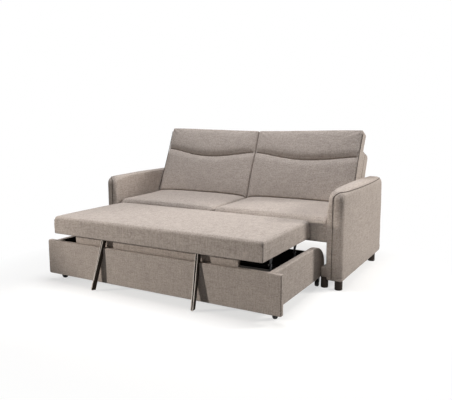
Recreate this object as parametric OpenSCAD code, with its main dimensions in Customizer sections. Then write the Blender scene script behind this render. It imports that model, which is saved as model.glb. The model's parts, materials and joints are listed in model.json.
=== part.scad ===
// Two-seat sofa bed with a pull-out drawer base and a mattress platform that
// rises on parallel lift arms. X runs across the sofa, Y from front to back
// and Z up. The origin is on the floor, under the middle of the whole object.
// Inside the modules Y is measured from the front plane of the arms.

/* [Arms] */
// Width over both arms
overall_w = 1900; // [1700:10:2200]
// Thickness of one arm
arm_t = 98; // [90:1:130]
// Depth of an arm from front to back
arm_d = 978; // [960:1:1050]
// Height of the arm's upper edge above the floor
arm_top = 625; // [560:1:680]
// Height that the arm's upper edge rises by in its middle
arm_crown = 7; // [2:1:12]
// Rounding of the arm's corners in side view
arm_corner_r = 50; // [30:1:60]
// Rounding of the arm's outer long edges
arm_outer_r = 44; // [30:1:46]
// Rounding of the arm's inner long edges
arm_inner_r = 12; // [6:1:18]
// Padding and cloth over the arm's timber frame
arm_pad = 22; // [14:1:24]
// Distance of the arm's piped seam from its inner face, on the arm's front
arm_seam_in = 32; // [24:1:40]
// Distance of the piped seam from the inner face along the arm's outer shoulder
arm_seam_out = 92; // [84:1:93]
// Rounding of the arm's lower edges
arm_foot_r = 6; // [2:1:12]

/* [Feet] */
// Height of the outer legs, which is the gap under the arms
leg_h = 59; // [40:1:90]
// Radius of the round outer legs
leg_r = 25; // [20:1:28]
// Gap between a leg and the arm's outer face
leg_edge = 4; // [2:1:8]
// Distance of the front legs' centres behind the arm front
leg_front_y = 30; // [29:1:60]
// Distance of the rear legs' centres before the arm's rear end
leg_rear_in = 153; // [78:1:218]
// Radius of the inner legs under the guide rails
inner_leg_r = 24; // [18:1:25]
// Radius of the threaded studs on the legs
stud_r = 4; // [3:0.5:5]
// Length of the threaded studs
stud_l = 22; // [15:1:26]

/* [Guide rails] */
// Underside of the guide rails above the floor
rail_z = 71; // [64:1:80]
// Height of a guide rail
rail_h = 62; // [40:1:80]
// Distance of the rails' front ends behind the arm front
rail_front = 18; // [10:1:20]
// Length of a guide rail
rail_l = 790; // [700:5:810]
// Thickness of the nylon glide strips
glide_t = 7; // [4:1:9]
// Distance of a glide strip's long edges inside the rail's
glide_edge = 16; // [10:1:18]
// Distance of a glide strip's ends inside the rail's
glide_end = 10; // [4:1:20]
// Length of a glide strip's tapered ends
glide_taper = 12; // [6:1:20]
// Thickness that the taper leaves at a glide strip's ends
glide_tip = 2; // [1:0.5:3]

/* [Seat] */
// Distance of the seat front behind the arm front
seat_front = 26; // [15:1:30]
// Depth of the seat cushions
seat_d = 600; // [560:1:610]
// Underside of the seat deck above the floor
deck_z = 292; // [288:1:320]
// Height of the deck rails
deck_h = 38; // [30:1:50]
// Width of the deck rails
deck_rail_w = 28; // [22:1:32]
// Height of a seat cushion at its edges
seat_t = 112; // [100:1:140]
// Extra height in the middle of a seat cushion
seat_crown = 26; // [10:1:34]
// Thickness of the cushion's skirt in front of the deck rail
skirt_t = 18; // [12:1:22]
// Number of webbing bands under the seat
web_n = 12; // [6:1:14]
// Width of one webbing band
web_w = 60; // [40:1:70]
// Thickness of the webbing
web_t = 2; // [1:0.5:3]

/* [Back] */
// Lean of the back from upright, in degrees
back_lean = 24; // [20:1:26]
// Gap between the seat cushions' rear ends and the back body's face
seat_back_gap = 24; // [14:1:40]
// Height along the lean of the back body's face above the seat
back_h = 385; // [340:1:420]
// Thickness of the back body across the lean
back_t = 172; // [140:1:175]
// Rear plane of the back body's lower part
back_rear = 858; // [850:1:880]
// Padding and cloth over the back's timber frame
back_pad = 26; // [18:1:32]
// Gap between the back body and each arm
back_side_gap = 20; // [12:1:32]
// Lower edge of the rear panel above the floor
rear_panel_z = 116; // [60:4:180]
// Height of a back cushion along the lean
cushion_h = 500; // [460:1:540]
// Thickness of a back cushion
cushion_t = 131; // [110:1:150]
// Height of the channel seam along the lean, at the cushion's sides
channel_u = 305; // [280:1:340]
// Drop of the channel seam in the cushion's middle
channel_dip = 40; // [10:1:50]
// Depth of the channel seam
channel_depth = 18; // [8:1:26]

/* [Drawer] */
// Room for a guide rail between a drawer side and the arm
drawer_side_gap = 54; // [54:1:62]
// Thickness of the upholstered drawer sides
side_t = 38; // [30:1:38]
// Distance the drawer front stands before the arm front
drawer_out = 686; // [640:1:700]
// Thickness of the drawer's upholstered front panel
front_t = 30; // [24:1:30]
// Gap between the front panel and each arm
front_side_gap = 7; // [2:1:22]
// Underside of the front panel above the floor
front_z = 45; // [30:1:55]
// Top of the front panel and the sides above the floor
drawer_top = 271; // [265:1:274]
// Underside of the drawer sides above the floor
side_z = 60; // [58:1:62]
// Length of the drawer behind its front panel
drawer_l = 765; // [760:1:800]
// Height of the curved rear upper corner of the drawer sides
side_corner_r = 130; // [60:1:140]
// Length of that curved corner
side_corner_l = 180; // [100:1:220]
// Thickness of the drawer back
rear_t = 18; // [12:1:22]
// Top of the drawer back above the floor
rear_top = 206; // [160:1:230]
// Thickness of the drawer bottom
bottom_t = 10; // [6:1:10]

/* [Casters] */
// Radius of the caster wheels
wheel_r = 24; // [20:1:25]
// Width of the caster wheels
wheel_w = 18; // [14:1:22]
// Radius of the caster axles
axle_r = 4; // [3:0.5:5]
// Distance of the front casters behind the front panel
caster_front = 44; // [40:1:80]
// Distance of the rear casters before the drawer's rear end
caster_rear = 80; // [60:1:120]

/* [Lift] */
// Length of the lift arms between their pivots
lift_l = 119.5; // [119:0.1:120]
// Angle of the raised lift arms above the horizontal, in degrees
lift_raised = 67.6; // [67:0.1:68]
// Height of the lower pivots above the floor
pivot_z = 146; // [145.5:0.1:146.5]
// Distance of the rear lower pivots before the arm front
pivot_rear_y = 195.5; // [190:0.5:230]
// Distance between the front and rear pivots
pivot_span = 350; // [320:1:370]
// Radius of the pivot pins
pin_r = 6; // [5:0.5:7]
// Half width of the lift arms
arm_bar_r = 11.5; // [10:0.5:11.5]
// Thickness of the lift arms
bar_t = 6; // [5:0.5:7]
// Thickness of the brackets' steel plate
plate_t = 4; // [3:0.5:5]
// Distance of the lift arms inside the drawer's outer faces
lift_inset = 103; // [101:1:118]
// Outer radius of the cross tubes
tube_r = 11; // [9:0.5:11.5]
// Wall of the cross tubes
tube_wall = 2; // [1.5:0.5:2.5]
// Running clearance on the radius of pins and axles
run_gap = 0.05; // [0.02:0.01:0.09]

/* [Platform] */
// Distance of the platform's ends inside the drawer's outer faces
platform_inset = 46; // [42:1:53]
// Distance of the platform's front edge before the arm front
platform_front = 714; // [710:1:715]
// Depth of the platform
platform_d = 663; // [655:1:664]
// Underside of the raised platform above the floor
platform_z = 327; // [326:1:330]
// Thickness of the platform at its edges
platform_t = 112; // [96:1:122]
// Extra height in the middle of the platform
platform_crown = 9; // [2:1:14]
// Height of the timber frame inside the platform
frame_h = 22; // [18:1:25]
// Thickness of the plywood board inside the platform
board_t = 8; // [6:1:12]
// Thickness of the padding round the platform's frame
platform_pad_t = 18; // [12:1:22]
// Distance of the riser board's ends inside the platform's ends
riser_inset = 151; // [132:1:192]
// Distance of the riser board's middle to the left of the platform's
riser_shift = 24; // [0:1:30]
// Underside of the riser board above the floor
riser_z = 257; // [256:1:262]
// Thickness of the riser board
riser_t = 22; // [16:1:26]
// Width of the pull straps
strap_w = 26; // [20:1:26]
// Thickness of one layer of a pull strap
strap_t = 3; // [2:0.5:4]
// Gap between the two layers of a pull strap
strap_gap = 3.5; // [2:0.5:4]
// Height of the straps' lower ends above the floor
strap_z = 14; // [8:1:40]
// Distance of the pull straps' tops from the middle
strap_x = 335; // [280:5:420]
// Sideways lean of the left strap, in degrees
strap_lean = 18; // [0:1:20]

/* [Hidden] */

// Gap between parts that are pressed together
seat_gap = 0.3;
// Smallest step that makes a cut run past a face
over = 1;

arm_in = overall_w / 2 - arm_t;
arm_out = overall_w / 2;
back_half = arm_in - back_side_gap;
drawer_half = arm_in - drawer_side_gap;
front_half = arm_in - front_side_gap;
bar_x = drawer_half - lift_inset;
platform_half = drawer_half - platform_inset;
riser_half = platform_half - riser_inset;
leg_rear_y = arm_d - leg_rear_in;
leg_x = arm_out - leg_edge - leg_r;
frame_x0 = arm_in + arm_pad;
frame_x1 = arm_out - arm_pad;
rail_x0 = drawer_half + 0.5 + glide_t;
rail_x1 = arm_in - seat_gap;
inner_leg_x = (drawer_half + rail_x1) / 2;
inner_leg_y = [rail_front + inner_leg_r, rail_front + rail_l - inner_leg_r];
deck_top = deck_z + deck_h;
deck_front = seat_front + skirt_t + seat_gap;
back_face = seat_front + seat_d + seat_back_gap;
deck_rear = back_face - seat_gap;
seat_half = arm_in - 8;
cushion_z = deck_top + web_t + seat_gap;
seat_top = cushion_z + seat_t + seat_crown;

// Unit vectors up along the back and across it, and the start of its face
back_up = [sin(back_lean), cos(back_lean)];
back_out = [cos(back_lean), -sin(back_lean)];
back_start = [back_face, seat_top + 1];
back_top_front = back_start + back_h * back_up;
back_top_rear = back_start + (back_h + 15) * back_up + back_t * back_out;
// Where the leaning rear face meets the upright one
back_knee_z = back_top_rear.y - (back_top_rear.x - back_rear) / tan(back_lean);

drawer_front_y = -drawer_out;
side_front_y = drawer_front_y + front_t;
drawer_rear_y = side_front_y + drawer_l;
bottom_top = side_z + bottom_t;
inside_x = drawer_half - side_t;

platform_rear_y = platform_d - platform_front;
pivot_y = [-pivot_rear_y, -pivot_rear_y - pivot_span];
lift_dy = lift_l * cos(lift_raised);
lift_dz = lift_l * sin(lift_raised);
// Frame inside the platform: its underside and its half width
frame_z = platform_z + 3;
frame_half = platform_half - platform_pad_t - seat_gap;
frame_front = -platform_front + platform_pad_t + seat_gap;
frame_rear = platform_rear_y - platform_pad_t - seat_gap;
pin_head_r = pin_r + 4;
pin_head_t = 3;
bracket_x = bar_x - plate_t - 2;
base_x = bar_x + bar_t + 2;

object_front = -platform_front - 2;
object_rear = max(arm_d, back_top_rear.x);
y_shift = -(object_front + object_rear) / 2;

fabric = [0.62, 0.57, 0.52];
fabric_light = [0.68, 0.63, 0.58];
seam_colour = [0.28, 0.25, 0.23];
timber = [0.78, 0.65, 0.45];
board = [0.72, 0.58, 0.40];
leg_colour = [0.12, 0.09, 0.08];
black = [0.06, 0.06, 0.06];
steel = [0.45, 0.46, 0.48];

// Shared shapes

// Moves what the modules draw to the frame of the whole object
module place() {
  translate([0, y_shift, 0]) children();
}

// Draws a right-hand piece, or its mirror image on the left
module side(name) {
  mirror([name == "left" ? 1 : 0, 0, 0]) children();
}

// Extrudes a profile drawn in Y and Z along X
module along_x(x0, x1) {
  translate([x0, 0, 0]) rotate([90, 0, 90]) linear_extrude(height = x1 - x0) children();
}

// Extrudes a profile drawn in X and Z along Y, from y0 to y1
module along_y(y0, y1) {
  translate([0, y1, 0]) rotate([90, 0, 0]) linear_extrude(height = y1 - y0) children();
}

module slab(low, high) {
  translate(low) cube(high - low);
}

// Cylinder along X
module rod_x(x0, x1, y, z, r) {
  translate([x0, y, z]) rotate([0, 90, 0]) cylinder(r = r, h = x1 - x0, $fn = 48);
}

// Points of an arc about a centre
function arc(c, r, a0, a1, n) =
  [for (i = [0:n]) c + r * [cos(a0 + (a1 - a0) * i / n), sin(a0 + (a1 - a0) * i / n)]];

// Rectangle with round corners: radii in the order lower left, lower right, upper right, upper left
function round_rect(low, high, r, n = 4) = concat(
  arc([low.x + r[0], low.y + r[0]], r[0], 180, 270, n),
  arc([high.x - r[1], low.y + r[1]], r[1], 270, 360, n),
  arc([high.x - r[2], high.y - r[2]], r[2], 0, 90, n),
  arc([low.x + r[3], high.y - r[3]], r[3], 90, 180, n));

// Fall-off of a stuffed form towards its edge, for t from -1 to 1
function swell(t, n) = pow(max(0, 1 - pow(abs(t), n)), 1 / n);

// Steps from -1 to 1 that crowd towards the ends
function crowd(i, n) = sin(90 * (2 * i / n - 1));

// Numbers of the corners of a closed form whose two skins share their edge
function skin_index(i, j, nx, ny, back) =
  (!back || i == 0 || i == nx || j == 0 || j == ny)
    ? j * (nx + 1) + i
    : (nx + 1) * (ny + 1) + (j - 1) * (nx - 1) + i - 1;

function skin_faces(nx, ny, back) = [
  for (j = [0:ny - 1]) for (i = [0:nx - 1]) for (half = [0, 1])
    let (
      a = skin_index(i, j, nx, ny, back),
      b = skin_index(i + 1, j, nx, ny, back),
      c = skin_index(i + 1, j + 1, nx, ny, back),
      d = skin_index(i, j + 1, nx, ny, back),
      // Each cell is split from the corner of the form that is nearest to it
      falling = (i < nx / 2) == (j < ny / 2),
      t = falling ? (half == 0 ? [a, b, c] : [a, c, d]) : (half == 0 ? [a, b, d] : [b, c, d]))
    back ? t : [t[2], t[1], t[0]]
];

// Stuffed form from a grid of front points and a grid of rear points
module stuffed(front, rear, nx, ny) {
  inner = [for (j = [1:ny - 1]) for (i = [1:nx - 1]) rear[j][i]];
  outer = [for (row = front) each row];
  polyhedron(
    points = concat(outer, inner),
    faces = concat(skin_faces(nx, ny, false), skin_faces(nx, ny, true)),
    convexity = 6);
}

// Tube of six sides along a list of points, square to the given normal's plane
function tube_ring(p, ahead, r, n) =
  let (
    t = ahead / norm(ahead),
    side = cross(t, abs(t.x) < 0.9 ? [1, 0, 0] : [0, 0, 1]),
    u = side / norm(side),
    v = cross(t, u))
  [for (k = [0:n - 1]) p + r * (cos(360 * k / n) * u + sin(360 * k / n) * v)];

module tube(path, r, n = 6) {
  last = len(path) - 1;
  rings = [for (i = [0:last])
    tube_ring(path[i], path[min(i + 1, last)] - path[max(i - 1, 0)], r, n)];
  polyhedron(
    points = [for (ring = rings) each ring],
    faces = concat(
      [[for (k = [0:n - 1]) k]],
      [[for (k = [0:n - 1]) last * n + n - 1 - k]],
      [for (i = [0:last - 1]) for (k = [0:n - 1]) for (half = [0, 1])
        let (
          a = i * n + k,
          b = i * n + (k + 1) % n,
          c = a + n,
          d = b + n)
        half == 0 ? [a, c, b] : [b, c, d]]),
    convexity = 4);
}

// Arms

// Side outline of an arm, drawn in by a distance, with its upper edge crowned
function arm_outline(inset) =
  let (
    y0 = inset,
    y1 = arm_d - inset,
    z0 = leg_h + min(inset, arm_foot_r),
    z1 = arm_top - inset,
    r = max(arm_corner_r - inset, 4),
    foot = 14)
  concat(
    arc([y0 + foot, z0 + foot], foot, 180, 270, 3),
    arc([y1 - r, z0 + r], r, 270, 360, 6),
    arc([y1 - r, z1 - r], r, 0, 70, 5),
    [for (k = [1:5]) [y1 - r + (y0 + 2 * r - y1) * k / 6, z1 + arm_crown * sin(180 * k / 6)]],
    arc([y0 + r, z1 - r], r, 110, 180, 5));

// Upholstered arm: a padded cover that is open below and holds the timber frame
module arm_cover(name) {
  steps = 4;
  color(fabric) side(name) difference() {
    hull() for (k = [0:steps]) {
      a = 90 * k / steps;
      along_x(arm_in + arm_inner_r * (1 - sin(a)), arm_in + arm_inner_r * (1 - sin(a)) + 0.2)
        polygon(arm_outline(arm_inner_r * (1 - cos(a))));
      along_x(arm_out - arm_outer_r * (1 - sin(a)) - 0.2, arm_out - arm_outer_r * (1 - sin(a)))
        polygon(arm_outline(arm_outer_r * (1 - cos(a))));
    }
    slab(
      [frame_x0, arm_pad, leg_h - over],
      [frame_x1, arm_d - arm_pad, arm_top - arm_pad]);
  }
}

// Timber frame of an arm: posts and rails round two windows, bored for the leg studs
module arm_frame(name) {
  x0 = frame_x0 + seat_gap;
  x1 = frame_x1 - seat_gap;
  y0 = arm_pad + seat_gap;
  y1 = arm_d - arm_pad - seat_gap;
  z0 = leg_h + 2;
  z1 = arm_top - arm_pad - seat_gap;
  post = 60;
  bay = (y1 - y0 - 3 * post) / 2;
  color(timber) side(name) difference() {
    slab([x0, y0, z0], [x1, y1, z1]);
    for (k = [0, 1])
      slab(
        [x0 - over, y0 + post + k * (bay + post), z0 + post],
        [x1 + over, y0 + post + k * (bay + post) + bay, z1 - post]);
    for (y = [leg_front_y, leg_rear_y])
      translate([leg_x, y, z0 - over])
        cylinder(r = stud_r + run_gap, h = stud_l + over, $fn = 32);
  }
}

// Piping along the arm's seam: up the front, over the corner and along the top
module arm_piping(name) {
  r = 2.2;
  off = r + seat_gap;
  foot = 16;
  // Share of the way from the front seam to the shoulder seam at the ends of the top
  start = 0.8;
  function seam(share) = arm_seam_in + (arm_seam_out - arm_seam_in) * share;
  // Slope and drop of the rounded outer edge at a distance from the inner face
  function lean(across) = asin(max(0, across - arm_t + arm_outer_r) / arm_outer_r);
  function drop(across) = arm_outer_r * (1 - cos(lean(across)));
  // Point on the cover at a distance across, at an angle round a corner, lifted off by the piping
  function at(across, y, z, turn) =
    let (out = arm_corner_r - drop(across) + off * cos(lean(across)))
    [arm_in + across + off * sin(lean(across)), y - out * cos(turn), z + out * sin(turn)];
  front_z = arm_top - arm_corner_r;
  front = [for (k = [0:3])
    at(arm_seam_in, arm_corner_r, leg_h + foot + (front_z - leg_h - foot) * k / 4, 0)];
  bend = [for (k = [0:8])
    at(seam(start * (1 - cos(22.5 * k)) / 2), arm_corner_r, front_z, 11.25 * k)];
  top = [for (k = [1:9])
    at(seam(start + (1 - start) * pow(sin(18 * k), 0.6)),
      arm_corner_r + (arm_d - 2 * arm_corner_r) * k / 10,
      front_z + arm_crown * sin(18 * k), 90)];
  color(seam_colour) side(name) tube(concat(front, bend, top), r);
}

// Legs

// Round leg with a chamfered foot and a threaded stud on top
module leg(r, h) {
  chamfer = 2;
  cylinder(r1 = r - chamfer, r2 = r, h = chamfer, $fn = 48);
  translate([0, 0, chamfer]) cylinder(r = r, h = h - chamfer, $fn = 48);
  translate([0, 0, h]) cylinder(r = stud_r, h = stud_l, $fn = 32);
}

module outer_leg(name, y) {
  color(leg_colour) side(name) translate([leg_x, y, 0]) leg(leg_r, leg_h - seat_gap);
}

module inner_legs(name) {
  color(leg_colour) side(name)
    for (y = inner_leg_y)
      translate([inner_leg_x, y, 0]) leg(inner_leg_r, rail_z - seat_gap);
}

// Guide rails

// Cloth-wrapped timber rail beside the drawer, bored for the studs of the inner legs
module guide_rail(name) {
  r = 6;
  color(fabric) side(name) difference() {
    along_y(rail_front, rail_front + rail_l)
      polygon(round_rect([rail_x0, rail_z], [rail_x1, rail_z + rail_h], [r, r, r, r]));
    for (y = inner_leg_y)
      translate([inner_leg_x, y, rail_z - over])
        cylinder(r = stud_r + run_gap, h = stud_l + over, $fn = 32);
  }
}

// Nylon strip with tapered ends that the drawer side slides along
module glide_strip(name) {
  x0 = rail_x0 - glide_t;
  x1 = rail_x0 - glide_tip;
  y0 = rail_front + glide_end;
  y1 = rail_front + rail_l - glide_end;
  color([0.9, 0.9, 0.88]) side(name)
    translate([0, 0, rail_z + glide_edge]) linear_extrude(height = rail_h - 2 * glide_edge)
      polygon([[rail_x0, y0], [rail_x0, y1], [x1, y1], [x0, y1 - glide_taper],
        [x0, y0 + glide_taper], [x1, y0]]);
}

// Seat

// Timber deck frame: four rails and a middle rail
module seat_deck_frame() {
  half = rail_x1;
  middle = deck_rail_w / 2;
  color(timber) difference() {
    slab([-half, deck_front, deck_z], [half, deck_rear, deck_top]);
    for (s = [0, 1]) mirror([s, 0, 0])
      slab(
        [middle, deck_front + deck_rail_w, deck_z - over],
        [half - deck_rail_w, deck_rear - deck_rail_w, deck_top + over]);
  }
}

// Elastic bands from the front rail to the back rail
module seat_webbing() {
  half = rail_x1 - deck_rail_w;
  pitch = 2 * half / web_n;
  color(black) for (i = [0:web_n - 1]) {
    x = -half + (i + 0.5) * pitch;
    slab([x - web_w / 2, deck_front + 4, deck_top], [x + web_w / 2, deck_rear - 4, deck_top + web_t]);
  }
}

// Crowned seat cushion with a rounded front and a skirt over the front deck rail
module seat_cushion(name) {
  nx = 16;
  ny = 16;
  gap = 1.5;
  draw_in = 0.006;
  centre = [(gap + seat_half) / 2, seat_front + seat_d / 2];
  half = [(seat_half - gap) / 2, seat_d / 2];
  function at(i, j, lift) =
    let (
      a = crowd(i, nx),
      b = crowd(j, ny),
      rise = seat_t + seat_crown * (1 - a * a) * (1 - b * b))
    [
      centre.x + half.x * a * (1 - draw_in * (1 - b * b)),
      centre.y + half.y * b * (1 - draw_in / 2 * (1 - a * a)),
      cushion_z + lift * rise * swell(a, 9) * swell(b, b < 0 ? 4.5 : 8)
    ];
  color(fabric_light) side(name) {
    stuffed(
      [for (j = [0:ny]) [for (i = [0:nx]) at(i, j, 1)]],
      [for (j = [0:ny]) [for (i = [0:nx]) at(i, j, 0)]], nx, ny);
    slab(
      [gap + 3, seat_front + 2.5, deck_z],
      [seat_half - 3, seat_front + skirt_t, cushion_z - seat_gap / 2]);
  }
}

// Back

back_bottom = deck_z + 8;
back_points = [
  [back_face, back_bottom], back_start, back_top_front, back_top_rear,
  [back_rear, back_knee_z], [back_rear, back_bottom]];

module back_profile(inset) {
  offset(delta = -inset) polygon(back_points);
}

// Padded cover of the back body, open below, round the timber frame
module back_cover() {
  r = 18;
  color(fabric) difference() {
    along_x(-back_half, back_half) offset(r = r, $fn = 32) back_profile(r);
    along_x(-back_half + back_pad, back_half - back_pad) back_profile(back_pad);
    slab(
      [-back_half + back_pad, back_face + back_pad, back_bottom - over],
      [back_half - back_pad, back_rear - back_pad, back_bottom + back_pad + over]);
  }
}

// Timber frame of the back: five ribs, a bottom rail and a top rail
module back_frame() {
  half = back_half - back_pad - seat_gap;
  ribs = 5;
  rib_w = 30;
  rail = 70;
  color(timber) intersection() {
    along_x(-half, half) back_profile(back_pad + seat_gap);
    union() {
      for (i = [0:ribs - 1]) {
        x = -half + i * (2 * half - rib_w) / (ribs - 1);
        slab([x, back_face, back_bottom], [x + rib_w, back_top_rear.x, back_top_front.y]);
      }
      slab([-half, back_face, back_bottom], [half, back_rear, back_bottom + back_pad + rail]);
      slab(
        [-half, back_face, back_top_rear.y - rail],
        [half, back_top_rear.x, back_top_front.y]);
    }
  }
}

// Plane of the back cushions' side seams, measured across the lean
back_seam_v = -0.8 * cushion_t;
back_gap = 2;
back_centre_x = (back_gap + arm_in - 6) / 2;
back_half_x = (arm_in - 6 - back_gap) / 2;
back_draw_in = 0.008;

// Height along the lean at which a line across the lean meets the seat
function back_foot(v) = (seat_top + seat_gap - back_start.y - v * back_out.y) / back_up.y;

// Point of a back cushion: across by a, up by s from 0 at the seat to 1, and out by v
function back_point(a, s, v) =
  let (
    u = back_foot(v) * (1 - s) + cushion_h * s,
    p = back_start + u * back_up + v * back_out)
  [back_centre_x + back_half_x * a * (1 - back_draw_in * sin(180 * s)), p.x, p.y];

// Stuffed back cushion with its curved channel seam; it is flat where it rests on the seat
module back_cushion(name) {
  nx = 18;
  low_rows = 9;
  high_rows = 8;
  ny = low_rows + high_rows + 1;
  w = 0.03;
  rear_crown = 3;
  function channel(a) = (channel_u - channel_dip * (1 - a * a) - back_foot(-cushion_t))
    / (cushion_h - back_foot(-cushion_t));
  function row(j, a) =
    j < low_rows ? (channel(a) - w) * max(0, j - 1) / (low_rows - 2)
    : j == low_rows ? channel(a)
    : channel(a) + w + (1 - channel(a) - w) * sin(90 * (j - low_rows - 1) / high_rows);
  // Place across, drawn in along the foot's middle line so that no two points meet
  function across(i, j) = crowd(i, nx) * (j == 0 ? 0.96 : 1);
  // Share of the full stuffing: none on the shared edge, less at the foot and round the top
  function filled(j, a, s, n) = j == 0 ? 0 : swell(a, n) * swell(s, 9) * (j == 1 ? 0.94 : 1);
  function front_at(i, j) =
    let (
      a = across(i, j),
      s = row(j, a),
      crown = 0.75 + 0.25 * (1 - a * a) * sin(180 * s),
      dent = j == low_rows ? channel_depth * swell(a, 14) : 0)
    back_point(a, s, back_seam_v - (cushion_t + back_seam_v) * filled(j, a, s, 5) * crown + dent);
  function rear_at(i, j) =
    let (
      a = across(i, j),
      s = row(j, a),
      flat = seat_gap + rear_crown * (1 - (1 - a * a) * sin(180 * s)))
    back_point(a, s, back_seam_v - (back_seam_v + flat) * filled(j, a, s, 12));
  color(fabric) side(name) stuffed(
    [for (j = [0:ny]) [for (i = [0:nx]) front_at(i, j)]],
    [for (j = [0:ny]) [for (i = [0:nx]) rear_at(i, j)]], nx, ny);
}

// Piping down the outer side seam of a back cushion
module back_piping(name) {
  r = 2;
  rings = 14;
  s0 = 0.06;
  s1 = 0.93;
  color(seam_colour) side(name) tube([for (k = [0:rings])
    back_point(1, s0 + (s1 - s0) * k / rings, back_seam_v) + [r + seat_gap, 0, 0]], r);
}

// Upholstered panel that closes the rear below the back body
module rear_panel() {
  t = 18;
  color(fabric) along_y(back_rear - t, back_rear)
    polygon(round_rect([-rail_x1, rear_panel_z], [rail_x1, back_bottom - seat_gap], [6, 6, 2, 2]));
}

// Drawer

// Upholstered front panel with softly rounded corners
module drawer_front() {
  color(fabric) along_y(drawer_front_y, side_front_y)
    polygon(round_rect([-front_half, front_z], [front_half, drawer_top], [10, 10, 8, 8]));
}

// Upholstered drawer side; its rear upper corner is a quarter of an ellipse
module drawer_side(name) {
  low_r = 12;
  color(fabric) side(name) along_x(inside_x, drawer_half) polygon(concat(
    [[side_front_y, side_z]],
    arc([drawer_rear_y - low_r, side_z + low_r], low_r, 270, 360, 4),
    [for (k = [0:14]) [
      drawer_rear_y + side_corner_l * (cos(90 * k / 14) - 1),
      drawer_top + side_corner_r * (sin(90 * k / 14) - 1)]],
    [[side_front_y, drawer_top]]));
}

drawer_back_y = drawer_rear_y - 12;

module drawer_back() {
  color(fabric)
    slab([-inside_x, drawer_back_y - rear_t, side_z], [inside_x, drawer_back_y, rear_top]);
}

module drawer_bottom() {
  color(board)
    slab([-inside_x, side_front_y, side_z], [inside_x, drawer_back_y - rear_t, bottom_top]);
}

// Casters

caster_x = (inside_x + drawer_half) / 2;
cheek_t = 2.5;
cheek_gap = 1.2;
cheek_x = wheel_w / 2 + cheek_gap;
axle_z = wheel_r;

// Places a caster under a drawer side
module at_caster(end, name) {
  y = end == "front" ? side_front_y + caster_front : drawer_rear_y - caster_rear;
  side(name) translate([caster_x, y, 0]) children();
}

// Pressed fork: a top plate and two cheeks bored for the axle
module caster_fork(end, name) {
  cheek_r = 9;
  plate = 3;
  color(black) at_caster(end, name) difference() {
    union() {
      slab(
        [-cheek_x - cheek_t, -cheek_r - 6, side_z - plate],
        [cheek_x + cheek_t, cheek_r + 6, side_z]);
      for (x = [-cheek_x - cheek_t, cheek_x])
        along_x(x, x + cheek_t) polygon(concat(
          [[cheek_r + 6, side_z - plate], [-cheek_r - 6, side_z - plate]],
          arc([0, axle_z], cheek_r, 190, 350, 10)));
    }
    rod_x(-cheek_x - cheek_t - over, cheek_x + cheek_t + over, 0, axle_z, axle_r + run_gap);
  }
}

// Riveted axle with a head outside each cheek
module caster_axle() {
  half = cheek_x + cheek_t + 0.1;
  head = 1.6;
  rod_x(-half - head, half + head, 0, axle_z, axle_r);
  rod_x(-half - head, -half, 0, axle_z, axle_r + 2);
  rod_x(half, half + head, 0, axle_z, axle_r + 2);
}

module caster_axles() {
  color(steel) for (end = ["front", "rear"]) for (name = ["left", "right"])
    at_caster(end, name) caster_axle();
}

// Moulded wheel with a crowned tread, a recessed web and a hub
module caster_wheel(end, name) {
  w = wheel_w / 2;
  hub_r = axle_r + 4;
  rim_r = wheel_r - 5;
  color(black) at_caster(end, name)
    translate([0, 0, axle_z]) rotate([0, 90, 0]) rotate_extrude($fn = 64)
      polygon([
        [axle_r + run_gap, -w], [hub_r, -w], [hub_r + 1, -w + 4], [rim_r - 1, -w + 4], [rim_r, -w],
        [wheel_r - 2.5, -w], [wheel_r - 0.6, -w + 2.5], [wheel_r, -2], [wheel_r, 2],
        [wheel_r - 0.6, w - 2.5], [wheel_r - 2.5, w],
        [rim_r, w], [rim_r - 1, w - 4], [hub_r + 1, w - 4], [hub_r, w], [axle_r + run_gap, w]]);
}

// Lift

function lower_pivot(k) = [pivot_y[k], pivot_z];
function upper_pivot(k) = lower_pivot(k) + [lift_dy, lift_dz];

// Bore along X through everything near a pivot
module pivot_bore(p) {
  rod_x(bracket_x - 20, base_x + 20, p.x, p.y, pin_r + run_gap);
}

// Angle bracket on the drawer bottom with one bored ear for each lift arm
module lift_base(name) {
  foot = 28;
  flange = 46;
  y0 = pivot_y[1] - flange;
  y1 = pivot_y[0] + flange;
  color(steel) side(name) difference() {
    union() {
      slab([base_x, y0, bottom_top], [inside_x - 4, y1, bottom_top + plate_t]);
      slab([base_x, y0, bottom_top], [base_x + plate_t, y1, bottom_top + 5 * plate_t]);
      for (k = [0, 1]) along_x(base_x, base_x + plate_t) polygon(concat(
        [[pivot_y[k] - foot, bottom_top + plate_t], [pivot_y[k] + foot, bottom_top + plate_t]],
        arc(lower_pivot(k), arm_bar_r, 20, 160, 10)));
    }
    for (k = [0, 1]) pivot_bore(lower_pivot(k));
  }
}

// Shoulder pin: a head, a collar that spaces the moving arm and a plain end
module pivot_pin(p, x0, x1, collar_x, head_x) {
  rod_x(x0, x1, p.x, p.y, pin_r);
  rod_x(collar_x + 0.1, collar_x + 1.9, p.x, p.y, pin_r + 3);
  rod_x(head_x, head_x + pin_head_t, p.x, p.y, pin_head_r);
}

module lower_pivot_pins() {
  head_x = base_x + plate_t + 0.1;
  color(steel) for (name = ["left", "right"]) side(name) for (k = [0, 1])
    pivot_pin(lower_pivot(k), bar_x - 5, head_x + 1, bar_x + bar_t, head_x);
}

// Flat steel link with round ends, bored for its two pins
module lift_arm(name, k) {
  a = lower_pivot(k);
  b = upper_pivot(k);
  r = arm_bar_r;
  tilt = lift_raised;
  color(steel) side(name) difference() {
    along_x(bar_x, bar_x + bar_t) polygon(concat(
      arc(a, r, 90 + tilt, 270 + tilt, 16),
      arc(b, r, tilt - 90, tilt + 90, 16)));
    pivot_bore(a);
    pivot_bore(b);
  }
}

// Tube that ties the left and right arm together round their lower pivots
module cross_tube(k) {
  p = lower_pivot(k);
  color(steel) difference() {
    rod_x(-bar_x, bar_x, p.x, p.y, tube_r);
    rod_x(-bar_x - over, bar_x + over, p.x, p.y, tube_r - tube_wall);
  }
}

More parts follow.
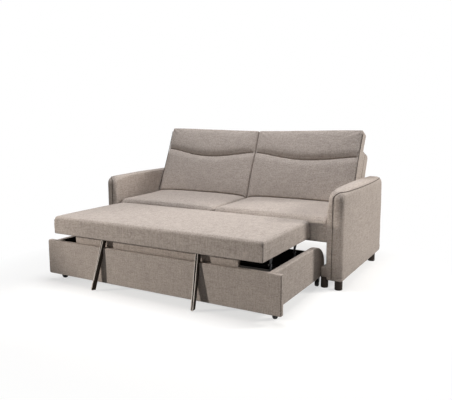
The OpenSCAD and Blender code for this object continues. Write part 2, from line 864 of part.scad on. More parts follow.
// Platform

// Timber frame: two long rails, two wide ends for the brackets and a middle rail
module platform_frame() {
  middle = 30;
  end_w = 94;
  rail = 70;
  color(timber) difference() {
    slab([-frame_half, frame_front, frame_z], [frame_half, frame_rear, frame_z + frame_h]);
    for (s = [0, 1]) mirror([s, 0, 0])
      slab(
        [middle, frame_front + rail, frame_z - over],
        [frame_half - end_w, frame_rear - rail, frame_z + frame_h + over]);
  }
}

module platform_board() {
  z = frame_z + frame_h;
  color(board) slab([-frame_half, frame_front, z], [frame_half, frame_rear, z + board_t]);
}

// Steps from -1 to 1 of a pad with steep sides, most of them close to the ends
function crowd_steep(i, n) = let (t = 2 * i / n - 1) sign(t) * (1 - pow(1 - abs(t), 2.6));

// Mattress pad that wraps over the edges of the frame
module platform_pad() {
  nx = 14;
  ny = 12;
  centre_y = -platform_front + platform_d / 2;
  draw_in = 0.003;
  function at(i, j, lift) =
    let (
      a = crowd_steep(i, nx),
      b = crowd_steep(j, ny),
      rise = platform_t + platform_crown * (1 - a * a) * (1 - b * b))
    [
      platform_half * a * (1 - draw_in * (1 - b * b)),
      centre_y + platform_d / 2 * b * (1 - draw_in * (1 - a * a)),
      platform_z + lift * rise * swell(a, 16) * swell(b, 9)
    ];
  color(fabric_light) difference() {
    stuffed(
      [for (j = [0:ny]) [for (i = [0:nx]) at(i, j, 1)]],
      [for (j = [0:ny]) [for (i = [0:nx]) at(i, j, 0)]], nx, ny);
    slab(
      [-frame_half - seat_gap, frame_front - seat_gap, platform_z - over],
      [frame_half + seat_gap, frame_rear + seat_gap, frame_z + frame_h + board_t + seat_gap]);
  }
}

// Cloth-covered board that closes the gap between the platform and the drawer front
module riser_board() {
  y0 = side_front_y + 1;
  color(fabric) translate([-riser_shift, 0, 0]) along_y(y0, y0 + riser_t)
    polygon(round_rect([-riser_half, riser_z], [riser_half, frame_z], [6, 6, 1, 1]));
}

// Bracket under the platform: a flange and a bored ear for each lift arm
module top_bracket(name) {
  flange = 40;
  color(steel) side(name) difference() {
    for (k = [0, 1]) {
      p = upper_pivot(k);
      slab(
        [bracket_x + plate_t - flange, p.x + 2, frame_z - plate_t],
        [bracket_x + plate_t, p.x + 58, frame_z]);
      along_x(bracket_x, bracket_x + plate_t) polygon(concat(
        [[p.x + 58, frame_z - plate_t], [p.x + 8, frame_z - plate_t]],
        arc(p, arm_bar_r, 170, 330, 12)));
    }
    for (k = [0, 1]) pivot_bore(upper_pivot(k));
  }
}

module upper_pivot_pins() {
  head_x = bracket_x - pin_head_t - 0.1;
  color(steel) for (name = ["left", "right"]) side(name) for (k = [0, 1])
    pivot_pin(upper_pivot(k), head_x + 2, bar_x + bar_t + 1, bar_x - 2, head_x);
}

// Pull strap: a flat loop of two layers that hangs from the platform's front edge
module pull_strap(name) {
  lean = name == "left" ? strap_lean : 4;
  half = strap_t + strap_gap / 2;
  l = (platform_z - 2 * seat_gap - strap_z - half * sin(strap_lean)) / cos(lean);
  y0 = -platform_front - 2;
  color(fabric) side(name) translate([strap_x, 0, platform_z - seat_gap - half * sin(lean)])
    rotate([0, name == "left" ? -lean : lean, 0]) along_y(y0, y0 + strap_w) difference() {
      polygon(round_rect([-half, -l], [half, 0], [half - 0.2, half - 0.2, 0.6, 0.6], 8));
      polygon(round_rect([-strap_gap / 2, strap_t - l], [strap_gap / 2, -strap_t],
        [strap_gap / 2 - 0.2, strap_gap / 2 - 0.2, 0.4, 0.4], 6));
    }
}

place() arm_cover("left");  // left_arm_cover
place() arm_cover("right");  // right_arm_cover
place() arm_frame("left");  // left_arm_frame
place() arm_frame("right");  // right_arm_frame
place() arm_piping("left");  // left_arm_piping
place() arm_piping("right");  // right_arm_piping
place() outer_leg("left", leg_front_y);  // front_left_leg
place() outer_leg("right", leg_front_y);  // front_right_leg
place() outer_leg("left", leg_rear_y);  // rear_left_leg
place() outer_leg("right", leg_rear_y);  // rear_right_leg
place() inner_legs("left");  // left_inner_legs
place() inner_legs("right");  // right_inner_legs
place() guide_rail("left");  // left_guide_rail
place() guide_rail("right");  // right_guide_rail
place() glide_strip("left");  // left_glide_strip
place() glide_strip("right");  // right_glide_strip
place() seat_deck_frame();
place() seat_webbing();
place() seat_cushion("left");  // left_seat_cushion
place() seat_cushion("right");  // right_seat_cushion
place() back_frame();
place() back_cover();
place() back_cushion("left");  // left_back_cushion
place() back_cushion("right");  // right_back_cushion
place() back_piping("left");  // left_back_piping
place() back_piping("right");  // right_back_piping
place() rear_panel();
place() drawer_front();
place() drawer_side("left");  // left_drawer_side
place() drawer_side("right");  // right_drawer_side
place() drawer_back();
place() drawer_bottom();
place() caster_fork("front", "left");  // front_left_caster_fork
place() caster_fork("front", "right");  // front_right_caster_fork
place() caster_fork("rear", "left");  // rear_left_caster_fork
place() caster_fork("rear", "right");  // rear_right_caster_fork
place() caster_axles();
place() caster_wheel("front", "left");  // front_left_wheel
place() caster_wheel("front", "right");  // front_right_wheel
place() caster_wheel("rear", "left");  // rear_left_wheel
place() caster_wheel("rear", "right");  // rear_right_wheel
place() lift_base("left");  // left_lift_base
place() lift_base("right");  // right_lift_base
place() lower_pivot_pins();
place() lift_arm("left", 0);  // left_rear_lift_arm
place() lift_arm("right", 0);  // right_rear_lift_arm
place() cross_tube(0);  // rear_cross_tube
place() lift_arm("left", 1);  // left_front_lift_arm
place() lift_arm("right", 1);  // right_front_lift_arm
place() cross_tube(1);  // front_cross_tube
place() platform_frame();
place() platform_board();
place() platform_pad();
place() riser_board();
place() top_bracket("left");  // left_top_bracket
place() top_bracket("right");  // right_top_bracket
place() upper_pivot_pins();
place() pull_strap("left");  // left_pull_strap
place() pull_strap("right");  // right_pull_strap
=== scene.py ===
import json
import math

import bmesh
import bpy
import numpy as np
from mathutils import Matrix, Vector, noise
from mathutils.bvhtree import BVHTree
from mathutils.kdtree import KDTree


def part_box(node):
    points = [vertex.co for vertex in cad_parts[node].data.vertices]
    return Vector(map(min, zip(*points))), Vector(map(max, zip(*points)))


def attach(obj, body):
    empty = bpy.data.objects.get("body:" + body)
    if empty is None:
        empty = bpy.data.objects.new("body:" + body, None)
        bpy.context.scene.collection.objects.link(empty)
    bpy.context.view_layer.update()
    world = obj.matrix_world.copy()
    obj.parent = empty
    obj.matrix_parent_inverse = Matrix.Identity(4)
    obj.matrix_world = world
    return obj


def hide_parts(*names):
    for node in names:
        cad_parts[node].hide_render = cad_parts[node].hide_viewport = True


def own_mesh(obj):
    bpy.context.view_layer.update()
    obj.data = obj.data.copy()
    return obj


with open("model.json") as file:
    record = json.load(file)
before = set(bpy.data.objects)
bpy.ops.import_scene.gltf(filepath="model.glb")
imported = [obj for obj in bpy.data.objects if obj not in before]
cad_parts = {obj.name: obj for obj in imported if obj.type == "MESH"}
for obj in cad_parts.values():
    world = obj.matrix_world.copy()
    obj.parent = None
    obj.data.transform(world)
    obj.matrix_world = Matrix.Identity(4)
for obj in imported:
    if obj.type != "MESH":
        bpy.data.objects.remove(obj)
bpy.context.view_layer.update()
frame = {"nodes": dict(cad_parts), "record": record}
scene = bpy.context.scene
scene.view_settings.view_transform = "Standard"
MM = 0.001
WELD = 0.02 * MM
SIDES = {"left": -1, "right": 1}

# Piping and threads
WELT_SIDES = 8
BACK_WELT_R = 2.4 * MM
BODY_WELT_R = 2.0 * MM
BODY_THREAD_R = 1.4 * MM
THREAD_R = 1.3 * MM
FRONT_THREAD_R = 0.9 * MM


# Studio

def make_camera():
    """Camera at the photograph's place, looking down at the sofa's right front corner."""
    data = bpy.data.cameras.new("camera")
    data.sensor_width = 36
    data.lens = 42.23
    data.shift_x = -0.0200
    data.shift_y = -0.0163
    camera = bpy.data.objects.new("camera", data)
    camera.location = (1.907, -3.238, 1.067)
    camera.rotation_euler = (math.radians(90 - 7.954), 0, math.radians(28.864))
    scene.collection.objects.link(camera)
    scene.camera = camera


def hang(data, place, aim, power, colour):
    """Puts a lamp at its place, turned to its aim."""
    data.energy = power
    data.color = colour
    lamp = bpy.data.objects.new(data.name, data)
    lamp.location = place
    lamp.rotation_euler = (Vector(aim) - Vector(place)).to_track_quat("-Z", "Y").to_euler()
    scene.collection.objects.link(lamp)


def softbox(name, place, aim, size, power, colour=(1, 1, 1)):
    """Rectangular lamp with an even face."""
    data = bpy.data.lights.new(name, "AREA")
    data.shape = "RECTANGLE"
    data.size, data.size_y = size
    hang(data, place, aim, power, colour)


def make_lights():
    softbox("overhead", (0, -0.3, 3.5), (0, -0.3, 0.4), (2.4, 1.4), 104, (0.95, 0.98, 1.04))
    softbox("right", (5.0, 2.9, 2.8), (0.9, 0.1, 0.3), (1.2, 1.2), 290)
    warm = (1.0, 0.98, 0.96)
    spotlight("key", (-5.0, -4.5, 1.8), (0.02, -0.82, 0.25), 1.35, 0.18, 1400, warm)
    spotlight("right_arm_fill", (1.9, -4.6, 1.5), (0.96, -0.15, 0.33), 0.24, 0.2, 900, warm)
    spotlight("right_arm_top", (1.5, -0.1, 2.7), (0.9, 0.25, 0.62), 0.42, 0.2, 38, warm)
    spotlight("left_arm_fill", (-1.3, -6.0, 1.5), (-0.92, -0.14, 0.38), 0.45, 0.3, 560, warm)


def spotlight(name, place, aim, width, softness, power, colour):
    """Round beam of a given width at its aim."""
    data = bpy.data.lights.new(name, "SPOT")
    reach = (Vector(aim) - Vector(place)).length
    data.spot_size = 2 * math.atan(width / 2 / reach)
    data.spot_blend = 0.25
    data.shadow_soft_size = softness
    hang(data, place, aim, power, colour)


def background_rays(tree):
    """Mask of the rays that see the studio itself: camera, mirror and glass rays."""
    rays = add(tree, "ShaderNodeLightPath").outputs
    mirrored = add(tree, "ShaderNodeMath", {0: rays["Is Camera Ray"], 1: rays["Is Glossy Ray"]},
                   operation="MAXIMUM").outputs[0]
    return add(tree, "ShaderNodeMath", {0: mirrored, 1: rays["Is Transmission Ray"]},
               operation="MAXIMUM").outputs[0]


def make_world():
    world = bpy.data.worlds.new("studio")
    world.use_nodes = True
    scene.world = world
    tree = world.node_tree
    tree.nodes.clear()
    ambient = add(tree, "ShaderNodeBackground", {"Color": (0.96, 0.97, 1.0, 1), "Strength": 0.10})
    white = add(tree, "ShaderNodeBackground", {"Color": (1, 1, 1, 1), "Strength": 1.0})
    mixed = add(tree, "ShaderNodeMixShader",
                {0: background_rays(tree), 1: ambient.outputs[0], 2: white.outputs[0]})
    add(tree, "ShaderNodeOutputWorld", {"Surface": mixed.outputs[0]})


def make_floor():
    """White floor that keeps the sofa's soft shadow near it and is plain white further out."""
    material = bpy.data.materials.new("studio_floor")
    material.use_nodes = True
    tree = material.node_tree
    tree.nodes.clear()
    diffuse = add(tree, "ShaderNodeBsdfDiffuse", {"Color": (0.445, 0.43, 0.405, 1)})
    glow = add(tree, "ShaderNodeEmission", {"Color": (1, 1, 1, 1), "Strength": 0.6})
    near = add(tree, "ShaderNodeAddShader", {0: diffuse.outputs[0], 1: glow.outputs[0]})
    far = add(tree, "ShaderNodeEmission", {"Color": (1, 1, 1, 1), "Strength": 1.0})
    place = add(tree, "ShaderNodeTexCoord").outputs["Object"]
    centre = (0.15, -0.35, 0)
    distance = add(tree, "ShaderNodeVectorMath", {0: place, 1: centre}, operation="DISTANCE")
    fade = add(tree, "ShaderNodeMapRange",
               {"Value": distance.outputs["Value"], "From Min": 1.2, "From Max": 1.75}).outputs[0]
    seen = add(tree, "ShaderNodeMixShader", {0: fade, 1: near.outputs[0], 2: far.outputs[0]})
    plain = add(tree, "ShaderNodeBsdfDiffuse", {"Color": (0.3, 0.3, 0.3, 1)})
    mixed = add(tree, "ShaderNodeMixShader",
                {0: background_rays(tree), 1: plain.outputs[0], 2: seen.outputs[0]})
    add(tree, "ShaderNodeOutputMaterial", {"Surface": mixed.outputs[0]})
    reach = 9.0
    corners = [(-reach, -reach, 0), (reach, -reach, 0), (reach, reach, 0), (-reach, reach, 0)]
    floor = piece_from("floor", corners, [(0, 1, 2, 3)], material)


# Materials

def add(tree, kind, inputs=None, **settings):
    """New shader node: its settings are made first, then its inputs are set or linked."""
    made = tree.nodes.new(kind)
    for key, value in settings.items():
        setattr(made, key, value)
    for key, value in (inputs or {}).items():
        if isinstance(value, bpy.types.NodeSocket):
            tree.links.new(value, made.inputs[key])
        else:
            made.inputs[key].default_value = value
    return made


def effect(name, inputs, outputs):
    """Empty node group with named inputs and outputs."""
    tree = bpy.data.node_groups.new(name, "ShaderNodeTree")
    for title, (kind, value) in inputs.items():
        socket = tree.interface.new_socket(name=title, in_out="INPUT", socket_type=kind)
        socket.default_value = value
    for title, kind in outputs.items():
        tree.interface.new_socket(name=title, in_out="OUTPUT", socket_type=kind)
    given = tree.nodes.new("NodeGroupInput").outputs
    out = tree.nodes.new("NodeGroupOutput").inputs
    return tree, given, out


def arithmetic(tree, kind, a, b):
    return add(tree, "ShaderNodeMath", {0: a, 1: b}, operation=kind).outputs[0]


def mixed_colour(tree, share, a, b):
    made = add(tree, "ShaderNodeMix", {0: share, 6: a, 7: b}, data_type="RGBA")
    return made.outputs[2]


def spread(tree, value, low, high, to_low=0.0, to_high=1.0):
    return add(tree, "ShaderNodeMapRange",
               {"Value": value, "From Min": low, "From Max": high,
                "To Min": to_low, "To Max": to_high}).outputs[0]


def cloud(tree, vector, scale, detail=2.0, rough=0.5):
    return add(tree, "ShaderNodeTexNoise",
               {"Vector": vector, "Scale": scale, "Detail": detail, "Roughness": rough}).outputs[0]


def make_woven():
    """Melange cloth: uneven yarns along each axis, fine flecks and a slow change of tone."""
    tree, given, out = effect(
        "woven_cloth",
        {"Light": ("NodeSocketColor", (0.5, 0.45, 0.4, 1)),
         "Dark": ("NodeSocketColor", (0.3, 0.26, 0.22, 1)),
         "Yarn": ("NodeSocketFloat", 1.0)},
        {"Color": "NodeSocketColor", "Height": "NodeSocketFloat"})
    place = add(tree, "ShaderNodeTexCoord").outputs["Object"]
    across, along = 185.0, 17.0
    total = 0.0
    for axis in range(3):
        stretch = [across] * 3
        stretch[axis] = along
        drawn = add(tree, "ShaderNodeVectorMath", {0: place, 1: stretch}, operation="MULTIPLY")
        yarn = cloud(tree, drawn.outputs[0], given["Yarn"], detail=3.0, rough=0.62)
        total = arithmetic(tree, "ADD", total, yarn)
    yarns = spread(tree, total, 1.17, 1.83)
    flecks = spread(tree, cloud(tree, place, 620.0, detail=1.0), 0.34, 0.66)
    slubs = spread(tree, cloud(tree, place, 120.0, detail=2.0, rough=0.6), 0.36, 0.64)
    patches = spread(tree, cloud(tree, place, 24.0, detail=2.0), 0.3, 0.7, 0.3, 0.7)
    tone = arithmetic(tree, "MULTIPLY", yarns, 0.45)
    for share, layer in ((0.13, flecks), (0.27, slubs), (0.15, patches)):
        tone = arithmetic(tree, "ADD", tone, arithmetic(tree, "MULTIPLY", layer, share))
    tree.links.new(mixed_colour(tree, tone, given["Dark"], given["Light"]), out["Color"])
    weave = arithmetic(tree, "ADD", yarns, arithmetic(tree, "MULTIPLY", flecks, 0.5))
    tree.links.new(weave, out["Height"])
    return tree


def make_grain():
    """Wood: long streaks along the direction with the smallest stretch, and darker pores."""
    tree, given, out = effect(
        "wood_grain",
        {"Light": ("NodeSocketColor", (0.7, 0.5, 0.3, 1)),
         "Dark": ("NodeSocketColor", (0.5, 0.33, 0.18, 1)),
         "Stretch": ("NodeSocketVector", (60, 60, 4))},
        {"Color": "NodeSocketColor", "Height": "NodeSocketFloat"})
    place = add(tree, "ShaderNodeTexCoord").outputs["Object"]
    drawn = add(tree, "ShaderNodeVectorMath", {0: place, 1: given["Stretch"]}, operation="MULTIPLY")
    streaks = spread(tree, cloud(tree, drawn.outputs[0], 1.0, detail=5.0, rough=0.65), 0.32, 0.68)
    pores = spread(tree, cloud(tree, drawn.outputs[0], 9.0, detail=2.0), 0.36, 0.5)
    tone = arithmetic(tree, "MULTIPLY", streaks, spread(tree, pores, 0, 1, 0.6, 1.0))
    tree.links.new(mixed_colour(tree, tone, given["Dark"], given["Light"]), out["Color"])
    tree.links.new(tone, out["Height"])
    return tree


def make_rubbed():
    """Even finish that is rubbed lighter on edges and in a few patches, with a fine texture."""
    tree, given, out = effect(
        "rubbed_finish",
        {"Base": ("NodeSocketColor", (0.03, 0.03, 0.03, 1)),
         "Rubbed": ("NodeSocketColor", (0.2, 0.2, 0.2, 1)),
         "Wear": ("NodeSocketFloat", 0.3)},
        {"Color": "NodeSocketColor", "Mask": "NodeSocketFloat", "Height": "NodeSocketFloat"})
    place = add(tree, "ShaderNodeTexCoord").outputs["Object"]
    edges = spread(tree, add(tree, "ShaderNodeNewGeometry").outputs["Pointiness"], 0.52, 0.62)
    patches = spread(tree, cloud(tree, place, 46.0, detail=4.0), 0.45, 0.75)
    scuffs = arithmetic(tree, "ADD", edges, arithmetic(tree, "MULTIPLY", patches, 0.35))
    mask = arithmetic(tree, "MULTIPLY", scuffs, given["Wear"])
    tree.links.new(mixed_colour(tree, mask, given["Base"], given["Rubbed"]), out["Color"])
    tree.links.new(mask, out["Mask"])
    grit = 800.0
    tree.links.new(cloud(tree, place, grit, detail=1.0), out["Height"])
    return tree


WOVEN = make_woven()
GRAIN = make_grain()
RUBBED = make_rubbed()


def finish(name, roughness, sheen=0.0, metallic=0.0, shine=0.5):
    """New material with its shader, whose even values are set on the shader itself."""
    material = bpy.data.materials.new(name)
    material.use_nodes = True
    tree = material.node_tree
    tree.nodes.clear()
    shader = add(tree, "ShaderNodeBsdfPrincipled",
                 {"Roughness": roughness, "Metallic": metallic, "Specular IOR Level": shine,
                  "Sheen Weight": sheen, "Sheen Roughness": 0.45})
    add(tree, "ShaderNodeOutputMaterial", {"Surface": shader.outputs[0]})
    return material, tree, shader


CLOTH_ROUGHNESS = 0.95
CLOTH_SHEEN = 0.06
CLOTH_SHINE = 0.12
WOOD_SHINE = 0.25
YARN_DEPTH = 0.7 * MM


def relief(tree, shader, height, strength, depth):
    """Fine bumps of a finish."""
    bump = add(tree, "ShaderNodeBump", {"Height": height, "Strength": strength, "Distance": depth})
    tree.links.new(bump.outputs[0], shader.inputs["Normal"])


def cloth(name, light, dark, yarn=1.0):
    """Woven cloth; a larger yarn value packs its yarns closer."""
    material, tree, shader = finish(name, CLOTH_ROUGHNESS, sheen=CLOTH_SHEEN, shine=CLOTH_SHINE)
    woven = add(tree, "ShaderNodeGroup",
                {"Light": (*light, 1), "Dark": (*dark, 1), "Yarn": yarn}, node_tree=WOVEN).outputs
    tree.links.new(woven["Color"], shader.inputs["Base Color"])
    relief(tree, shader, woven["Height"], 0.45, YARN_DEPTH)
    return material


def wood(name, light, dark, stretch, roughness):
    material, tree, shader = finish(name, roughness, shine=WOOD_SHINE)
    grain = add(tree, "ShaderNodeGroup",
                {"Light": (*light, 1), "Dark": (*dark, 1), "Stretch": stretch}, node_tree=GRAIN).outputs
    tree.links.new(grain["Color"], shader.inputs["Base Color"])
    relief(tree, shader, grain["Height"], 0.3, 0.3 * MM)
    return material


def coated(name, base, rubbed, wear, roughness, metallic=0.0, shine=0.5):
    material, tree, shader = finish(name, roughness, metallic=metallic, shine=shine)
    worn = add(tree, "ShaderNodeGroup",
               {"Base": (*base, 1), "Rubbed": (*rubbed, 1), "Wear": wear},
               node_tree=RUBBED).outputs
    tree.links.new(worn["Color"], shader.inputs["Base Color"])
    tree.links.new(spread(tree, worn["Mask"], 0, 1, roughness, roughness * 0.7),
                   shader.inputs["Roughness"])
    relief(tree, shader, worn["Height"], 0.2, 0.1 * MM)
    return material


FINISHES = {
    "upholstery": cloth("taupe_melange_cloth", (0.58, 0.495, 0.43), (0.225, 0.185, 0.155)),
    "cushion_cloth": cloth("taupe_melange_cushion_cloth", (0.59, 0.505, 0.44), (0.23, 0.19, 0.16)),
    # strap cloth darkened as painted shade, for the strap's shaded broad faces
    "strap_cloth": cloth("strap_cloth_painted_shade", (0.10, 0.08, 0.062), (0.035, 0.027, 0.02), 2.2),
    # piping and threads: the upholstery cloth darkened as painted shade of the seam grooves
    "piping": cloth("piping_cloth_painted_seam_shade", (0.15, 0.125, 0.105), (0.07, 0.058, 0.048), 2.5),
    "timber": wood("sawn_softwood", (0.68, 0.50, 0.31), (0.47, 0.31, 0.17), (70, 6, 70), 0.75),
    # board darkened, partly a dark-faced board and partly painted shade of the drawer's deep inside
    "plywood": wood("dark_faced_board_and_painted_shade", (0.06, 0.05, 0.042), (0.03, 0.025, 0.02), (5, 60, 60), 0.7),
    "leg_wood": wood("dark_stained_beech", (0.036, 0.021, 0.014), (0.012, 0.008, 0.005), (90, 90, 8),
                     0.55),
    "nylon": coated("white_nylon", (0.74, 0.74, 0.71), (0.86, 0.86, 0.84), 0.3, 0.42),
    "webbing": cloth("black_elastic_webbing", (0.045, 0.045, 0.045), (0.015, 0.015, 0.015), 3.0),
    "black_steel": coated("black_powder_coat", (0.016, 0.016, 0.017), (0.16, 0.16, 0.16), 0.25, 0.5,
                          shine=0.3),
    "wheel": coated("black_moulded_nylon", (0.014, 0.014, 0.014), (0.06, 0.06, 0.06), 0.5, 0.55,
                    shine=0.2),
    "pin_steel": coated("zinc_plated_steel", (0.56, 0.56, 0.58), (0.75, 0.75, 0.74), 0.5, 0.34, 1.0),
}
# near-black lining cloth, partly the drawer's real dark lining and partly painted shade inside the drawer
LINING_AND_PAINTED_SHADE = cloth("dark_lining_and_painted_shade", (0.030, 0.026, 0.023), (0.012, 0.010, 0.009), 2.0)
# strap edges: the strap's cloth lightened as painted light on its lit edges
STRAP_EDGE_PAINTED_LIGHT = cloth("strap_edge_painted_light", (0.82, 0.74, 0.66), (0.60, 0.53, 0.47), 2.5)


# Shared shapes

def piece_from(name, points, faces, material):
    """Object from points and faces, welded, with its normals outward and smooth shading."""
    mesh = bpy.data.meshes.new(name)
    mesh.from_pydata([tuple(map(float, p)) for p in points], [], faces)
    work = bmesh.new()
    work.from_mesh(mesh)
    bmesh.ops.remove_doubles(work, verts=work.verts, dist=WELD)
    bmesh.ops.recalc_face_normals(work, faces=work.faces)
    work.to_mesh(mesh)
    work.free()
    mesh.shade_smooth()
    mesh.materials.append(material)
    piece = bpy.data.objects.new(name, mesh)
    scene.collection.objects.link(piece)
    return piece


def points_of(piece):
    values = np.empty(len(piece.data.vertices) * 3, np.float32)
    piece.data.vertices.foreach_get("co", values)
    return values.reshape(-1, 3).astype(float)


def normals_of(piece):
    values = np.empty(len(piece.data.vertices) * 3, np.float32)
    piece.data.vertex_normals.foreach_get("vector", values)
    return values.reshape(-1, 3).astype(float)


def move_points(piece, points):
    piece.data.vertices.foreach_set("co", points.astype(np.float32).ravel())
    piece.data.update()


def dress(piece, body, slot, *nodes):
    """Puts a finished piece on its body and hides the solids it stands for; slot is not used."""
    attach(piece, body)
    if nodes:
        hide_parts(*nodes)
    return piece


def ripple(points, size, seed):
    """Smooth noise from -1 to 1 at each point."""
    shift = Vector((seed, 1.7 * seed, 2.3 * seed))
    scaled = points / np.array(size)
    return np.array([noise.noise(Vector(p) + shift) for p in scaled])


def soften(piece, amount, size, seed):
    """Slight unevenness of stretched cloth."""
    points = points_of(piece)
    push = amount * ripple(points, size, seed)
    move_points(piece, points + normals_of(piece) * push[:, None])


def press(points, normals, path, depth, width):
    """Sinks a soft valley along a path, where a seam is sewn."""
    tree = KDTree(len(path))
    for index, place in enumerate(path):
        tree.insert(Vector(place), index)
    tree.balance()
    distance = np.array([tree.find(Vector(p))[2] for p in points])
    return points - normals * (depth * np.exp(-(distance / width) ** 2))[:, None]


def refined(path, step=3 * MM):
    """The same path with points at most a step apart."""
    path = np.array(path, float)
    made = [path[:1]]
    for p, q in zip(path, path[1:]):
        parts = max(1, math.ceil(np.linalg.norm(q - p) / step))
        made.append(p + (q - p) * (np.arange(1, parts + 1) / parts)[:, None])
    return np.concatenate(made)


def swell(t, power):
    return np.maximum(0, 1 - np.abs(t) ** power) ** (1 / power)


def smooth_step(value, low, high):
    t = np.clip((value - low) / (high - low), 0, 1)
    return t * t * (3 - 2 * t)


def lines(low, high, radius, step, extra=()):
    """Grid lines from low to high that crowd in the rounded ends, with extra ones added."""
    turns = 5
    bend = [radius * math.tan(math.radians(45 * k / turns)) for k in range(turns + 1)]
    count = max(1, round((high - low - 2 * radius) / step))
    middle = [low + radius + (high - low - 2 * radius) * k / count for k in range(1, count)]
    every = [low + radius - b for b in bend] + [high - radius + b for b in bend] + middle
    kept = []
    for value in sorted(every + list(extra)):
        if not kept or value - kept[-1] > 0.1 * MM:
            kept.append(value)
    kept[-1] = high
    return kept


def block(name, xs, ys, zs, radius, material, shape=None, radius_at=None):
    """Padded block on grid lines, with rounded edges; shape then moves its points."""
    axes = [np.array(a, float) for a in (xs, ys, zs)]
    points, faces = [], []
    for fixed in range(3):
        u, v = [k for k in range(3) if k != fixed]
        for end in (0, -1):
            start = len(points)
            for a in axes[u]:
                for b in axes[v]:
                    p = [0.0, 0.0, 0.0]
                    p[fixed], p[u], p[v] = axes[fixed][end], a, b
                    points.append(p)
            columns = len(axes[v])
            for i in range(len(axes[u]) - 1):
                for j in range(columns - 1):
                    k = start + i * columns + j
                    faces.append((k, k + 1, k + columns + 1, k + columns))
    points = np.array(points)
    r = np.full(len(points), radius) if radius_at is None else radius_at(points)
    r = r[:, None]
    low = np.array([a[0] for a in axes])
    high = np.array([a[-1] for a in axes])
    core = np.clip(points, low + r, high - r)
    arm = points - core
    length = np.linalg.norm(arm, axis=1, keepdims=True)
    points = core + arm * r / np.maximum(length, 1e-9)
    if shape is not None:
        points = shape(points)
    return piece_from(name, points, faces, material)


def rounded(corners, radii, step):
    """Closed outline through corner points, each rounded, as points at most a step apart."""
    path = []
    for k, radius in enumerate(radii):
        p = np.array(corners[k])
        back = np.array(corners[k - 1]) - p
        ahead = np.array(corners[(k + 1) % len(corners)]) - p
        back = back / np.linalg.norm(back)
        ahead = ahead / np.linalg.norm(ahead)
        half = math.acos(np.clip(back @ ahead, -1, 1)) / 2
        middle = p + (back + ahead) / np.linalg.norm(back + ahead) * radius / math.sin(half)
        a = p + back * radius / math.tan(half) - middle
        b = p + ahead * radius / math.tan(half) - middle
        turn = math.pi - 2 * half
        steps = max(2, round(turn / math.radians(11)))
        for i in range(steps + 1):
            t = i / steps
            arm = (math.sin((1 - t) * turn) * a + math.sin(t * turn) * b) / math.sin(turn)
            path.append(middle + arm)
    filled = []
    for p, q in zip(path, path[1:] + path[:1]):
        parts = max(1, math.ceil(np.linalg.norm(q - p) / step))
        filled += [p + (q - p) * i / parts for i in range(parts)]
    return np.array(filled)


def outward(outline):
    """Unit normals of a closed outline, pointing out of it."""
    ahead = np.roll(outline, -1, axis=0) - np.roll(outline, 1, axis=0)
    normal = np.column_stack([ahead[:, 1], -ahead[:, 0]])
    normal = normal / np.linalg.norm(normal, axis=1, keepdims=True)
    following = np.roll(outline, -1, axis=0)
    area = np.sum(outline[:, 0] * following[:, 1] - following[:, 0] * outline[:, 1])
    return normal if area > 0 else -normal


def loft(name, rings, material):
    """Skin over closed rings of equal length, with its two ends filled."""
    rings = np.array(rings)
    count, size = rings.shape[:2]
    faces = []
    for i in range(count - 1):
        j = i + 1
        for k in range(size):
            after = (k + 1) % size
            faces.append((i * size + k, i * size + after, j * size + after, j * size + k))
    faces.append(tuple(range(size)))
    faces.append(tuple((count - 1) * size + k for k in range(size)))
    return piece_from(name, rings.reshape(-1, 3), faces, material)


def upright(name, outline, span, edges, material, step, puff=0.0, sign=1):
    """Upholstered slab along X over a side outline, with rounded long edges.
    span is its two faces; edges holds, for each face, the depth and the breadth of its rounding
    at each point of the outline; puff is how far the outer face bulges."""
    out = outward(outline)
    size = len(outline)
    low, high = outline.min(axis=0), outline.max(axis=0)
    half = (high[1] - low[1]) / 2
    (first, first_reach), (second, second_reach) = [
        [np.broadcast_to(value, size) for value in edge] for edge in edges]

    def ring(x, toward=0.0, pushed=0.0):
        """Outline at x, drawn in by the roundings and by a share toward its middle line."""
        near = np.clip((span[0] + first_reach - x) / first_reach, 0, 1)
        far = np.clip((x - span[1] + second_reach) / second_reach, 0, 1)
        inset = first * (1 - np.sqrt(1 - near ** 2)) + second * (1 - np.sqrt(1 - far ** 2))
        sunk = outline - out * inset[:, None]
        spine = np.column_stack([
            np.clip(sunk[:, 0], low[0] + half, high[0] - half), np.full(size, low[1] + half)])
        sunk = sunk + (spine - sunk) * toward
        return np.column_stack([np.full(size, (x + pushed) * sign), sunk])

    turns = [math.sin(math.radians(90 * k / 10)) for k in range(11)]
    xs = [span[0] + e * (1 - t) for e in (first_reach.min(), first_reach.max()) for t in turns]
    xs += [span[1] - e * (1 - t) for e in (second_reach.min(), second_reach.max()) for t in turns]
    xs += between(*span, step)
    kept = [span[0]]
    for x in sorted(xs):
        if x - kept[-1] > 0.3 * MM:
            kept.append(x)
    kept[-1] = span[1]
    shrink = [0.97 * (1 - (k / 14) ** 0.8) for k in range(14)]
    rings = [ring(span[0], t) for t in shrink]
    rings += [ring(x) for x in kept]
    rings += [ring(span[1], t, puff * (1 - (1 - t) ** 3)) for t in shrink[::-1]]
    return loft(name, rings, material)


def surface_of(piece):
    faces = [tuple(f.vertices) for f in piece.data.polygons]
    return BVHTree.FromPolygons([v.co for v in piece.data.vertices], faces)


def laid_on(surface, path):
    """Path moved onto a surface."""
    return [surface.find_nearest(Vector(place))[0] for place in path]


